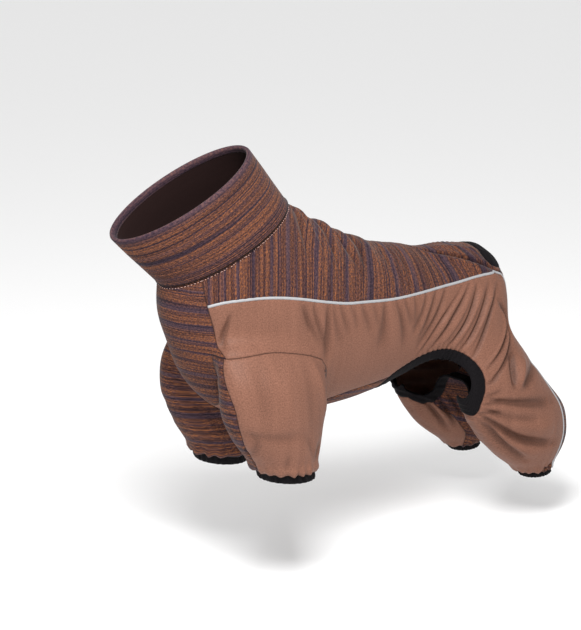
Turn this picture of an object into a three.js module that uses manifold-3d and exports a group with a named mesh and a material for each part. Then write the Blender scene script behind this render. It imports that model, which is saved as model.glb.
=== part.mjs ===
// A four-legged tracksuit for a medium dog, shaped as it sits when worn.
// Millimetres. +X runs from the neck to the tail, +Y to the dog's right, +Z up.
// The origin is the inside of the back panel at the withers.
import * as THREE from 'three';
import { mergeVertices } from 'three/addons/utils/BufferGeometryUtils.js';
import Module from 'manifold-3d';

const wasm = await Module();
wasm.setup();

// Driving sizes of the body
const backLength = 300;
const bodyDepth = 200;
const bodyWidth = 134;
// Driving sizes of the collar
const collarHeight = 72;
const collarWidth = 92;
// Driving sizes of the sleeves
const sleeveLength = 138;
const sleeveDepth = 120;
const sleeveWidth = 70;
const sleeveSpacing = 122;
const rightSleeveDrop = 12;
const rightSleeveInset = 8;
const rightSleeveBack = 5;
const rightSleeveDepth = 112;
// Driving sizes of the hind legs
const legLength = 138;
const legDepth = 112;
const legWidth = 72;
const legSpacing = 116;
// Cloth, trim and openings
const wall = 1.6;
const liningWall = 1.2;
const layerGap = 0.3;
const collarStand = 2;
const bindingWidth = 12;
const bindingWall = 2.6;
const cuffHeight = 10;
const cuffWall = 2.6;
const pipingWidth = 3;
const pipingWall = 2.8;
const tailHoleWidth = 22;
const bellySeamHalf = 31;
const tailRadius = tailHoleWidth / 2 + 0.7 * bindingWidth;
const bellyEnd = 0.5;
const tailFormSides = 18;

// Fineness of the faceted surfaces
const fineness = {
  body: { outerSides: 24, innerSides: 14, outerStep: 22, innerStep: 38 },
  limb: { outerSides: 18, innerSides: 12, outerStep: 23, innerStep: 38 },
};
// Far enough out to pass through everything, for cutting forms
const reach = backLength + bodyDepth / 2;

// Places that the pieces share, from the sizes above
const shoulder = { x: -0.277 * backLength, y: sleeveSpacing / 2, z: -0.5 * bodyDepth };
const hip = { x: 0.707 * backLength, y: legSpacing / 2, z: -0.825 * bodyDepth };
const tailHole = { x: 0.812 * backLength, z: -0.345 * bodyDepth, tilt: 0.93 };

const colours = {
  stripe: 0x5d3f3c,
  brown: 0x8b6252,
  lining: 0x2c1b1c,
  binding: 0x17171a,
  piping: 0xa7a9a8,
};

// Body sections from the collar seam to the rump. Top and bottom points are shares of the
// back length (x) and body depth (z), half is a share of the body width, and widest tells
// how far down the section its widest line lies.
const bodyRows = [
  { topX: -0.110, topZ: 0.135, bottomX: -0.567, bottomZ: -0.190, half: 0.343, widest: 0.50 },
  { topX: -0.050, topZ: 0.080, bottomX: -0.567, bottomZ: -0.360, half: 0.396, widest: 0.50 },
  { topX: 0.000, topZ: 0.020, bottomX: -0.533, bottomZ: -0.515, half: 0.433, widest: 0.48 },
  { topX: 0.067, topZ: -0.025, bottomX: -0.483, bottomZ: -0.690, half: 0.470, widest: 0.46 },
  { topX: 0.133, topZ: -0.085, bottomX: -0.387, bottomZ: -0.850, half: 0.493, widest: 0.45 },
  { topX: 0.200, topZ: -0.120, bottomX: -0.250, bottomZ: -0.950, half: 0.500, widest: 0.45 },
  { topX: 0.267, topZ: -0.165, bottomX: -0.083, bottomZ: -0.990, half: 0.493, widest: 0.46 },
  { topX: 0.333, topZ: -0.190, bottomX: 0.117, bottomZ: -1.000, half: 0.478, widest: 0.48 },
  { topX: 0.417, topZ: -0.215, bottomX: 0.283, bottomZ: -0.975, half: 0.455, widest: 0.50 },
  { topX: 0.500, topZ: -0.250, bottomX: 0.417, bottomZ: -0.960, half: 0.440, widest: 0.52 },
  { topX: 0.600, topZ: -0.260, bottomX: 0.550, bottomZ: -0.990, half: 0.440, widest: 0.55 },
  { topX: 0.693, topZ: -0.275, bottomX: 0.677, bottomZ: -1.030, half: 0.440, widest: 0.56 },
  { topX: 0.760, topZ: -0.285, bottomX: 0.750, bottomZ: -1.000, half: 0.403, widest: 0.56 },
  { topX: 0.803, topZ: -0.330, bottomX: 0.797, bottomZ: -0.920, half: 0.328, widest: 0.52 },
  { topX: 0.827, topZ: -0.420, bottomX: 0.820, bottomZ: -0.800, half: 0.209, widest: 0.50 },
];

// Collar sections from the seam to the rim. Lean and rise move the back and the front edge
// off the seam as shares of the collar height, half is a share of the collar width.
const collarRows = [
  { backLean: -0.003, backRise: 0.005, frontLean: -0.003, frontRise: 0.005, half: 0.500 },
  { backLean: -0.200, backRise: 0.260, frontLean: -0.240, frontRise: 0.230, half: 0.480 },
  { backLean: -0.390, backRise: 0.510, frontLean: -0.480, frontRise: 0.455, half: 0.465 },
  { backLean: -0.585, backRise: 0.750, frontLean: -0.710, frontRise: 0.685, half: 0.470 },
];

// Sleeve sections from the shoulder down. Front and rear are shares of the sleeve depth
// measured from the shoulder, drops are shares of the sleeve length, out is a share of the
// sleeve spacing and half a share of the sleeve width.
const sleeveRows = [
  { front: -0.470, frontDrop: -0.036, rear: 0.458, rearDrop: 0.036, out: 0.330, half: 0.343 },
  { front: -0.512, frontDrop: 0.217, rear: 0.508, rearDrop: 0.275, out: 0.475, half: 0.443 },
  { front: -0.500, frontDrop: 0.449, rear: 0.485, rearDrop: 0.493, out: 0.500, half: 0.500 },
  { front: -0.395, frontDrop: 0.652, rear: 0.445, rearDrop: 0.652, out: 0.500, half: 0.500 },
  { front: -0.255, frontDrop: 0.812, rear: 0.405, rearDrop: 0.812, out: 0.500, half: 0.486 },
  { front: -0.150, frontDrop: 0.913, rear: 0.355, rearDrop: 0.942, out: 0.500, half: 0.430 },
];

// Hind leg sections from the hip down, in the same columns as the sleeve's.
const legRows = [
  { front: -0.400, frontDrop: -0.450, rear: 0.120, rearDrop: -0.430, out: 0.230, half: 0.300 },
  { front: -0.464, frontDrop: -0.145, rear: 0.255, rearDrop: -0.170, out: 0.340, half: 0.360 },
  { front: -0.482, frontDrop: 0.145, rear: 0.445, rearDrop: 0.109, out: 0.431, half: 0.458 },
  { front: -0.411, frontDrop: 0.348, rear: 0.620, rearDrop: 0.297, out: 0.474, half: 0.486 },
  { front: -0.285, frontDrop: 0.520, rear: 0.780, rearDrop: 0.464, out: 0.500, half: 0.500 },
  { front: -0.160, frontDrop: 0.655, rear: 0.830, rearDrop: 0.601, out: 0.500, half: 0.500 },
  { front: -0.025, frontDrop: 0.775, rear: 0.826, rearDrop: 0.739, out: 0.500, half: 0.458 },
  { front: 0.165, frontDrop: 0.895, rear: 0.750, rearDrop: 0.862, out: 0.491, half: 0.385 },
  { front: 0.325, frontDrop: 0.970, rear: 0.665, rearDrop: 0.945, out: 0.491, half: 0.264 },
];

// Folds as soft ridges (positive height) and dents (negative). Along runs from the first
// section to the last, round from the top line (0) over the left side (0.25) to the bottom
// (0.5) and the right side (0.75). Breadth and height are shares of the body width.
const bodyFolds = [
  { along0: 0.155, round0: -0.13, along1: 0.155, round1: 0.13, breadth: 0.060, height: 0.014 },
  { along0: 0.215, round0: -0.14, along1: 0.215, round1: 0.14, breadth: 0.060, height: 0.018 },
  { along0: 0.330, round0: -0.15, along1: 0.330, round1: 0.15, breadth: 0.080, height: 0.022 },
  { along0: 0.500, round0: -0.15, along1: 0.520, round1: 0.15, breadth: 0.070, height: 0.014 },
  { along0: 0.600, round0: -0.16, along1: 0.610, round1: 0.16, breadth: 0.080, height: 0.018 },
  { along0: 0.120, round0: 0.22, along1: 0.200, round1: 0.34, breadth: 0.090, height: -0.026 },
  { along0: 0.120, round0: 0.78, along1: 0.200, round1: 0.66, breadth: 0.090, height: -0.026 },
  { along0: 0.640, round0: 0.32, along1: 0.780, round1: 0.19, breadth: 0.060, height: 0.020 },
  { along0: 0.700, round0: 0.32, along1: 0.850, round1: 0.20, breadth: 0.060, height: 0.022 },
  { along0: 0.640, round0: 0.68, along1: 0.780, round1: 0.81, breadth: 0.060, height: 0.020 },
  { along0: 0.700, round0: 0.68, along1: 0.850, round1: 0.80, breadth: 0.060, height: 0.022 },
];

// Folds of a sleeve and of a hind leg, in the same columns. Round starts at the front line
// and runs over the outer side.
const sleeveFolds = [
  { along0: 0.30, round0: 0.16, along1: 0.95, round1: 0.12, breadth: 0.070, height: 0.016 },
  { along0: 0.35, round0: 0.33, along1: 0.95, round1: 0.30, breadth: 0.070, height: 0.018 },
  { along0: 0.70, round0: 0.05, along1: 0.72, round1: 0.20, breadth: 0.060, height: -0.016 },
];
const legFolds = [
  { along0: 0.50, round0: 0.06, along1: 0.60, round1: 0.42, breadth: 0.060, height: 0.022 },
  { along0: 0.60, round0: 0.06, along1: 0.74, round1: 0.42, breadth: 0.060, height: 0.024 },
  { along0: 0.56, round0: 0.08, along1: 0.68, round1: 0.40, breadth: 0.050, height: -0.018 },
];

// Seam lines. Those of the side view are shares of the back length and body depth, those
// of the rear view shares of the body width and body depth.
const pipingSideLine = [
  [-0.550, -0.263], [-0.373, -0.270], [-0.217, -0.295], [-0.083, -0.340], [0.033, -0.385],
  [0.143, -0.405], [0.240, -0.415], [0.380, -0.405], [0.527, -0.390], [0.627, -0.380],
  [0.717, -0.385], [0.800, -0.395],
];
const sleeveSeamLine = [
  [0.93, -0.20], [0.97, 0.03], [1.08, 0.20], [1.22, 0.35], [1.27, 0.54], [1.10, 0.81],
  [1.02, 1.20],
];
const pipingRearLine = [
  [0.291, -0.385], [0.313, -0.550], [0.358, -0.750], [0.410, -0.975], [0.448, -1.250],
  [0.425, -1.500],
];
const chestSeamLine = [
  [-0.540, -0.100], [-0.517, -0.280], [-0.473, -0.440], [-0.453, -0.550], [-0.427, -0.700],
  [-0.373, -0.875], [-0.347, -1.025],
];
const seatSeamLine = [
  [0.690, -0.300], [0.725, -0.500], [0.735, -0.750], [0.640, -0.870], [0.570, -0.950],
  [0.580, -1.050], [0.690, -1.210], [0.777, -1.315], [0.827, -1.400], [0.873, -1.600],
];
const legMiddleLine = [
  [0.710, -0.300], [0.740, -0.500], [0.765, -0.750], [0.783, -1.000], [0.850, -1.300],
  [0.900, -1.600],
];
const openingLine = [
  [0.360, -1.200], [0.347, -0.875], [0.353, -0.790], [0.400, -0.730], [0.480, -0.723],
  [0.540, -0.750], [0.587, -0.795], [0.623, -0.860], [0.640, -0.940], [0.640, -1.015],
  [0.620, -1.080], [0.583, -1.130], [0.533, -1.175],
];

// Smooth value between the rows of a table, one column at a time
function blendRows(rows, index, share) {
  const at = (i) => rows[Math.min(Math.max(i, 0), rows.length - 1)];
  const blended = {};
  for (const key of Object.keys(rows[0])) {
    const [a, b, c, d] = [at(index - 1)[key], at(index)[key], at(index + 1)[key], at(index + 2)[key]];
    const slopeB = (c - a) / 2;
    const slopeC = (d - b) / 2;
    const rise = c - b;
    blended[key] = b + slopeB * share + (3 * rise - 2 * slopeB - slopeC) * share ** 2
      + (slopeB + slopeC - 2 * rise) * share ** 3;
  }
  return blended;
}

// Rings between two neighbouring rows lie about one step apart
function denseRows(rows, step) {
  const rings = [];
  for (let i = 0; i < rows.length - 1; i += 1) {
    const a = rows[i];
    const b = rows[i + 1];
    const span = Math.max(
      Math.hypot(b.ax - a.ax, b.az - a.az),
      Math.hypot(b.bx - a.bx, b.bz - a.bz),
      Math.abs(b.half - a.half),
    );
    const count = Math.max(1, Math.round(span / step));
    for (let k = 0; k < count; k += 1) {
      rings.push({ ...blendRows(rows, i, k / count), along: (i + k / count) / (rows.length - 1) });
    }
  }
  rings.push({ ...rows[rows.length - 1], along: 1 });
  return rings;
}

// Height of all folds at one place of a surface whose length and girth are known
function foldHeight(folds, along, round, length, girth) {
  let height = 0;
  for (const fold of folds) {
    for (const turn of [-1, 0, 1]) {
      const start = new THREE.Vector2(fold.along0 * length, (fold.round0 + turn) * girth);
      const end = new THREE.Vector2(fold.along1 * length, (fold.round1 + turn) * girth);
      const place = new THREE.Vector2(along * length, round * girth);
      const run = end.clone().sub(start);
      const share = THREE.MathUtils.clamp(place.clone().sub(start).dot(run) / run.lengthSq(), 0, 1);
      const away = place.distanceTo(start.addScaledVector(run, share)) / (fold.breadth * bodyWidth);
      const fade = Math.sin(Math.PI * THREE.MathUtils.clamp(share, 0.04, 0.96));
      height += fold.height * bodyWidth * Math.exp(-away * away) * fade;
    }
  }
  return height;
}

// One ring of a section. Its a point is the top or front, its b point the bottom or rear.
function ringPoints(row, sides, grow, folds, length, girth, side) {
  const centre = new THREE.Vector2(row.ax, row.az).lerp(new THREE.Vector2(row.bx, row.bz), row.widest);
  const points = [];
  for (let i = 0; i < sides; i += 1) {
    const round = i / sides;
    const angle = 2 * Math.PI * round;
    const end = Math.cos(angle) >= 0
      ? new THREE.Vector2(row.ax, row.az)
      : new THREE.Vector2(row.bx, row.bz);
    const arm = end.sub(centre);
    const fold = foldHeight(folds, row.along, round, length, girth);
    const lift = grow + fold;
    const armLength = Math.max(arm.length() + lift, 1);
    const halfLength = Math.max(row.half + lift, 1);
    arm.setLength(armLength * Math.abs(Math.cos(angle)));
    points.push([
      centre.x + arm.x,
      side * (row.y + halfLength * Math.sin(angle)),
      centre.y + arm.y,
    ]);
  }
  return points;
}

// Closed solid through a list of rings, with a fan on each end
function solidFromRings(rings) {
  const sides = rings[0].length;
  const vertices = rings.flat();
  const triangles = [];
  for (let r = 0; r < rings.length - 1; r += 1) {
    for (let i = 0; i < sides; i += 1) {
      const next = (i + 1) % sides;
      const [a, b] = [r * sides + i, r * sides + next];
      const [c, d] = [a + sides, b + sides];
      triangles.push(a, b, c, b, d, c);
    }
  }
  for (const [ring, first] of [[0, true], [rings.length - 1, false]]) {
    const hub = vertices.length;
    const middle = [0, 1, 2].map((axis) => rings[ring].reduce((sum, p) => sum + p[axis], 0) / sides);
    vertices.push(middle);
    for (let i = 0; i < sides; i += 1) {
      const [a, b] = [ring * sides + i, ring * sides + (i + 1) % sides];
      triangles.push(...(first ? [hub, b, a] : [hub, a, b]));
    }
  }
  return manifoldFrom(new Float32Array(vertices.flat()), new Uint32Array(triangles));
}

// Solid with its faces turned outwards whichever way they were listed
function manifoldFrom(vertProperties, triVerts) {
  const solid = new wasm.Manifold(new wasm.Mesh({ numProp: 3, vertProperties, triVerts }));
  if (solid.volume() > 0) {
    return solid;
  }
  const turned = new Uint32Array(triVerts.length);
  for (let i = 0; i < triVerts.length; i += 3) {
    turned.set([triVerts[i], triVerts[i + 2], triVerts[i + 1]], i);
  }
  return new wasm.Manifold(new wasm.Mesh({ numProp: 3, vertProperties, triVerts: turned }));
}

// Solid from a three.js geometry
function manifoldFromGeometry(geometry) {
  const bare = geometry.clone();
  bare.deleteAttribute('normal');
  bare.deleteAttribute('uv');
  const merged = mergeVertices(bare, 1e-4);
  return manifoldFrom(new Float32Array(merged.attributes.position.array), new Uint32Array(merged.index.array));
}

// Full solid of a lofted form, grown outwards by a length. Extra lengths carry its open
// ends on, so that an inner form runs out through the outer one.
function loftSolid({ rows, folds, side = -1 }, sides, step, grow, startExtra = 0, endExtra = 0) {
  const dense = denseRows(rows, step);
  const length = dense.slice(1).reduce((sum, row, i) => sum + Math.hypot(
    (row.ax + row.bx - dense[i].ax - dense[i].bx) / 2,
    (row.az + row.bz - dense[i].az - dense[i].bz) / 2,
  ), 0);
  const widest = Math.max(...rows.map((row) => row.half));
  const girth = 2 * Math.PI * widest;
  const rings = dense.map((row) => ringPoints(row, sides, grow, folds, length, girth, side));
  const last = rings.length - 1;
  const start = shiftedRing(rings[0], rings[1], startExtra);
  const end = shiftedRing(rings[last], rings[last - 1], endExtra);
  rings.splice(0, startExtra < 0 ? 1 : 0, ...(startExtra === 0 ? [] : [start]));
  rings.splice(endExtra < 0 ? -1 : rings.length, 1, ...(endExtra === 0 ? [] : [end]));
  return solidFromRings(rings);
}

// Copy of an end ring, moved away from its neighbour
function shiftedRing(ring, neighbour, distance) {
  const middle = (points) => [0, 1, 2].map((axis) => points.reduce((sum, p) => sum + p[axis], 0) / points.length);
  const [from, to] = [middle(neighbour), middle(ring)];
  const run = new THREE.Vector3(...to).sub(new THREE.Vector3(...from)).setLength(distance);
  return ring.map((point) => [point[0] + run.x, point[1] + run.y, point[2] + run.z]);
}

// Tables turned into millimetres
function bodySections() {
  return bodyRows.map((row) => ({
    ax: row.topX * backLength,
    az: row.topZ * bodyDepth,
    bx: row.bottomX * backLength,
    bz: row.bottomZ * bodyDepth,
    y: 0,
    half: row.half * bodyWidth,
    widest: row.widest,
  }));
}

function collarSections() {
  const seam = bodySections()[0];
  return collarRows.map((row) => ({
    ax: seam.ax + row.backLean * collarHeight,
    az: seam.az + row.backRise * collarHeight,
    bx: seam.bx + row.frontLean * collarHeight,
    bz: seam.bz + row.frontRise * collarHeight,
    y: 0,
    half: row.half * collarWidth,
    widest: 0.5,
  }));
}

function limbSections(rows, root, length, depth, width, drop) {
  return rows.map((row, i) => ({
    ax: root.x + row.front * depth,
    az: root.z - row.frontDrop * length - drop * i / (rows.length - 1),
    bx: root.x + row.rear * depth,
    bz: root.z - row.rearDrop * length - drop * i / (rows.length - 1),
    y: 2 * row.out * root.y,
    half: row.half * width,
    widest: 0.5,
  }));
}

// The lofted forms. Side -1 is the dog's left, side 1 its right.
const bodyForm = { rows: bodySections(), folds: bodyFolds, fine: fineness.body };
const collarForm = { rows: collarSections(), folds: [], fine: fineness.body };
const rightShoulder = {
  ...shoulder,
  x: shoulder.x + rightSleeveBack,
  y: shoulder.y - rightSleeveInset,
};
const sleeveForm = (side) => ({
  rows: side < 0
    ? limbSections(sleeveRows, shoulder, sleeveLength, sleeveDepth, sleeveWidth, 0)
    : limbSections(sleeveRows, rightShoulder, sleeveLength, rightSleeveDepth, sleeveWidth, rightSleeveDrop),
  folds: sleeveFolds,
  fine: fineness.limb,
  side,
});
const legForm = (side) => ({
  rows: limbSections(legRows, hip, legLength, legDepth, legWidth, 0),
  folds: legFolds,
  fine: fineness.limb,
  side,
});

const outerLoft = (form, grow = 0) => (
  loftSolid(form, form.fine.outerSides, form.fine.outerStep, grow)
);
const innerLoft = (form, shrink, startExtra = 0, endExtra = 0) => (
  loftSolid(form, form.fine.innerSides, form.fine.innerStep, -shrink, startExtra, endExtra)
);

// Outline of a line drawn with a width and carried on a little at both ends
function stripShape(line, width, extra) {
  const last = line.length - 1;
  const carriedOn = (end, before) => (
    end.clone().add(end.clone().sub(before).setLength(extra))
  );
  const points = [carriedOn(line[0], line[1]), ...line, carriedOn(line[last], line[last - 1])];
  const left = [];
  const right = [];
  points.forEach((point, i) => {
    const before = points[Math.max(i - 1, 0)];
    const after = points[Math.min(i + 1, points.length - 1)];
    const run = after.clone().sub(before).normalize();
    const across = new THREE.Vector2(-run.y, run.x).multiplyScalar(width / 2);
    left.push(point.clone().add(across));
    right.unshift(point.clone().sub(across));
  });
  return new THREE.Shape([...left, ...right]);
}

// Prism of an outline of the side view (x, z), between two places across the body
function sidePrism(shape, y0, y1) {
  const geometry = new THREE.ExtrudeGeometry(shape, { depth: y1 - y0, bevelEnabled: false });
  geometry.rotateX(Math.PI / 2);
  geometry.translate(0, y1, 0);
  return manifoldFromGeometry(geometry);
}

// Prism of an outline of the rear view (y, z), between two places along the body
function rearPrism(shape, x0, x1) {
  const geometry = new THREE.ExtrudeGeometry(shape, { depth: x1 - x0, bevelEnabled: false });
  geometry.rotateX(Math.PI / 2);
  geometry.rotateZ(Math.PI / 2);
  geometry.translate(x0, 0, 0);
  return manifoldFromGeometry(geometry);
}

const sidePoints = (line) => line.map(([x, z]) => new THREE.Vector2(x * backLength, z * bodyDepth));
const rearPoints = (line, side) => line.map(([y, z]) => (
  new THREE.Vector2(side * y * bodyWidth, z * bodyDepth)
));
const smoothPoints = (points, count) => new THREE.SplineCurve(points).getPoints(count);

// Line moved to the left of its run by a distance
function movedPoints(points, distance) {
  return points.map((point, i) => {
    const before = points[Math.max(i - 1, 0)];
    const after = points[Math.min(i + 1, points.length - 1)];
    const run = after.clone().sub(before).normalize();
    return point.clone().add(new THREE.Vector2(-run.y, run.x).multiplyScalar(distance));
  });
}

// Solids that every panel is cut from
const bothSides = [-1, 1];
const joinAll = (solids) => solids.reduce((sum, solid) => sum.add(solid));
const trunkOuter = (grow) => joinAll([
  outerLoft(bodyForm, grow),
  ...bothSides.map((side) => outerLoft(legForm(side), grow)),
]);
const trunkInner = (shrink) => joinAll([
  innerLoft(bodyForm, shrink, reach / 10, -2 * shrink),
  ...bothSides.map((side) => innerLoft(legForm(side), shrink, -2 * shrink, reach / 10)),
]);

const sideLine = smoothPoints(sidePoints(pipingSideLine), 12);
const chestLine = smoothPoints(sidePoints(chestSeamLine), 6);
const seatLine = sidePoints(seatSeamLine);
const rearLine = (side) => smoothPoints(rearPoints(pipingRearLine, side), 7);
const openingPoints = smoothPoints(sidePoints(openingLine), 18);

// The open hollow below the belly, drawn inside the binding's outer edge by a distance
const openingSolid = (inset) => (
  sidePrism(new THREE.Shape(movedPoints(openingPoints, -inset)), -reach, reach)
);

// Cylinder along the slanted axis of the tail hole
function tailCylinder(radius) {
  const geometry = new THREE.CylinderGeometry(radius, radius, backLength / 3, tailFormSides);
  geometry.rotateX(Math.PI / 2);
  geometry.rotateY(tailHole.tilt);
  geometry.translate(tailHole.x, 0, tailHole.z);
  return manifoldFromGeometry(geometry);
}

// Everything above the side piping, moved up or down by a distance
function yokeRegion(grow) {
  const line = movedPoints(sideLine, -grow);
  const outline = [
    ...line,
    new THREE.Vector2(reach, line[line.length - 1].y),
    new THREE.Vector2(reach, reach),
    new THREE.Vector2(-reach, reach),
    new THREE.Vector2(-reach, line[0].y),
  ];
  return sidePrism(new THREE.Shape(outline), -reach, reach);
}

// The seat between the two rear pipings, with the inner halves of the legs
function seatRegion(grow) {
  const half = movedPoints(rearLine(1), grow);
  const mirrored = half.map((point) => new THREE.Vector2(-point.x, point.y)).reverse();
  const between = rearPrism(new THREE.Shape([...half, ...mirrored]), -reach, reach);
  const line = movedPoints(seatLine, -grow);
  const behind = sidePrism(new THREE.Shape([
    ...line,
    new THREE.Vector2(reach, -reach),
    new THREE.Vector2(reach, line[0].y),
  ]), -reach, reach);
  return between.intersect(behind);
}

// Ahead of the chest seam, and the strip that runs back under the belly
function chestRegion(grow) {
  const line = movedPoints(chestLine, grow);
  const ahead = sidePrism(new THREE.Shape([
    new THREE.Vector2(line[0].x, reach),
    ...line,
    new THREE.Vector2(line[line.length - 1].x, -reach),
    new THREE.Vector2(-reach, -reach),
    new THREE.Vector2(-reach, reach),
  ]), -reach, reach);
  const under = sidePrism(new THREE.Shape([
    new THREE.Vector2(line[0].x, shoulder.z),
    new THREE.Vector2(bellyEnd * backLength, shoulder.z),
    new THREE.Vector2(bellyEnd * backLength, -reach),
    new THREE.Vector2(line[0].x, -reach),
  ]), -bellySeamHalf - grow, bellySeamHalf + grow);
  return ahead.add(under);
}

// Half of the space, on the dog's left (-1) or right (1)
function sideSpace(side, grow) {
  const square = new THREE.Shape([
    new THREE.Vector2(-reach, -reach),
    new THREE.Vector2(reach, -reach),
    new THREE.Vector2(reach, reach),
    new THREE.Vector2(-reach, reach),
  ]);
  return side > 0 ? sidePrism(square, -grow, reach) : sidePrism(square, -reach, grow);
}

// Space between the two sleeve seams, which the striped inner halves fill
function innerSleeveRegion(grow) {
  const line = sleeveSeamLine.map(([out, drop]) => new THREE.Vector2(
    out * sleeveSpacing / 2,
    shoulder.z - drop * sleeveLength,
  ));
  const half = movedPoints(smoothPoints(line, 6), grow);
  const mirrored = half.map((point) => new THREE.Vector2(-point.x, point.y)).reverse();
  return rearPrism(new THREE.Shape([...half, ...mirrored]), -reach, reach);
}

const group = new THREE.Group();

// Named mesh of a finished solid
function addMesh(name, solid, colour, roughness) {
  const { vertProperties, triVerts } = solid.getMesh();
  const geometry = new THREE.BufferGeometry();
  geometry.setAttribute('position', new THREE.BufferAttribute(vertProperties, 3));
  geometry.setIndex(new THREE.BufferAttribute(triVerts, 1));
  geometry.computeVertexNormals();
  const material = new THREE.MeshStandardMaterial({ color: colour, roughness, metalness: 0 });
  const mesh = new THREE.Mesh(geometry, material);
  mesh.name = name;
  group.add(mesh);
}

const trimHalf = pipingWidth / 2;

// Route of the piping on both sides, along the body and down the back of the leg
function pipingRoute(grow) {
  const width = pipingWidth + 2 * grow;
  const edge = rearLine(1)[0].x - width / 2;
  const along = sidePrism(stripShape(sideLine, width, pipingWidth + grow), -reach, reach)
    .subtract(sidePrism(new THREE.Shape([
      new THREE.Vector2(hip.x, -reach),
      new THREE.Vector2(reach, -reach),
      new THREE.Vector2(reach, reach),
      new THREE.Vector2(hip.x, reach),
    ]), -edge, edge));
  const behind = sidePrism(new THREE.Shape([
    ...movedPoints(sidePoints(legMiddleLine), -grow),
    new THREE.Vector2(reach, -reach),
    new THREE.Vector2(reach, legMiddleLine[0][1] * bodyDepth),
  ]), -reach, reach);
  const down = joinAll(bothSides.map((side) => (
    rearPrism(stripShape(rearLine(side), width, trimHalf + grow), -reach, reach)
  )));
  return along.add(down.intersect(behind));
}

const sideName = (side) => (side < 0 ? 'left' : 'right');

// Cloth of the trunk with its holes, ready to be parted into panels
const trunkCloth = trunkOuter(0)
  .subtract(trunkInner(wall))
  .subtract(openingSolid(-layerGap))
  .subtract(tailCylinder(tailRadius + layerGap))
  .subtract(joinAll(bothSides.map((side) => outerLoft(sleeveForm(side), layerGap))))
  .subtract(pipingRoute(layerGap));

// A band of the trunk thicker than its cloth, for the trim sewn onto it
function trimBand(thickness) {
  const proud = (thickness - wall) / 2;
  return trunkOuter(proud).subtract(trunkInner(wall + proud));
}

function addTrunkPanels() {
  const yoke = yokeRegion(0).subtract(chestRegion(layerGap));
  const seat = seatRegion(0).subtract(yokeRegion(layerGap));
  addMesh('back_yoke', trunkCloth.intersect(yoke), colours.stripe, 0.85);
  addMesh('chest_panel', trunkCloth.intersect(chestRegion(0)), colours.stripe, 0.85);
  addMesh('seat_panel', trunkCloth.intersect(seat), colours.stripe, 0.85);
  const others = joinAll([yokeRegion(layerGap), chestRegion(layerGap), seatRegion(layerGap)]);
  for (const side of bothSides) {
    const panel = trunkCloth.intersect(sideSpace(side, -layerGap)).subtract(others);
    addMesh(`side_panel_${sideName(side)}`, panel, colours.brown, 0.7);
  }
}

// Flat cord sewn into the seams
function addPiping() {
  const cord = trimBand(pipingWall)
    .subtract(tailCylinder(tailRadius + layerGap))
    .subtract(chestRegion(layerGap))
    .intersect(pipingRoute(0));
  for (const side of bothSides) {
    const name = `side_piping_${sideName(side)}`;
    addMesh(name, cord.intersect(sideSpace(side, -layerGap)), colours.piping, 0.4);
  }
}

function addSleeves() {
  const body = trunkOuter(layerGap);
  for (const side of bothSides) {
    const form = sleeveForm(side);
    const tube = outerLoft(form, 0)
      .subtract(innerLoft(form, wall, reach / 10, reach / 10))
      .subtract(body);
    addMesh(
      `sleeve_outer_${sideName(side)}`,
      tube.subtract(innerSleeveRegion(layerGap)),
      colours.brown,
      0.7,
    );
    addMesh(`sleeve_inner_${sideName(side)}`, tube.intersect(innerSleeveRegion(0)), colours.stripe, 0.85);
    addCuff(`front_cuff_${sideName(side)}`, form);
  }
}

// Elastic band below the last section of a sleeve or leg
function addCuff(name, form) {
  const last = form.rows[form.rows.length - 1];
  const run = new THREE.Vector2(last.bz - last.az, last.ax - last.bx).normalize();
  const down = run.y < 0 ? run : run.negate();
  const shifted = (distance) => ({
    ...last,
    ax: last.ax + down.x * distance,
    az: last.az + down.y * distance,
    bx: last.bx + down.x * distance,
    bz: last.bz + down.y * distance,
  });
  const rows = [shifted(layerGap), shifted(layerGap + cuffHeight)];
  const band = { ...form, rows, folds: [] };
  const { outerSides } = form.fine;
  const cuff = loftSolid(band, outerSides, cuffHeight, 0)
    .subtract(loftSolid(band, outerSides, cuffHeight, -cuffWall, wall, wall));
  addMesh(name, cuff, colours.binding, 0.9);
}

function addBindings() {
  const band = trimBand(bindingWall);
  const belly = band.intersect(openingSolid(0)).subtract(openingSolid(bindingWidth));
  addMesh('belly_opening_binding', belly, colours.binding, 0.9);
  const tail = band.intersect(tailCylinder(tailRadius)).subtract(tailCylinder(tailHoleWidth / 2));
  addMesh('tail_opening_binding', tail, colours.binding, 0.9);
}

function addCollar() {
  const { outerSides, outerStep } = collarForm.fine;
  const clothInside = loftSolid(collarForm, outerSides, outerStep, collarStand - wall, reach / 10, reach / 10);
  addMesh('collar', outerLoft(collarForm, collarStand).subtract(clothInside), colours.stripe, 0.85);
  const liningOut = wall - collarStand + layerGap;
  const lining = outerLoft(collarForm, -liningOut)
    .subtract(innerLoft(collarForm, liningOut + liningWall, reach / 10, reach / 10));
  addMesh('collar_lining', lining, colours.lining, 0.9);
}

addTrunkPanels();
addPiping();
addSleeves();
for (const side of bothSides) {
  addCuff(`hind_cuff_${sideName(side)}`, legForm(side));
}
addBindings();
addCollar();

export default group;
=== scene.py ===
"""Dog tracksuit: its cloth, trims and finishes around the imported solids, in metres."""
import math

import bpy
import numpy as np
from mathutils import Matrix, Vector
from mathutils.bvhtree import BVHTree
from mathutils.kdtree import KDTree


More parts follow.
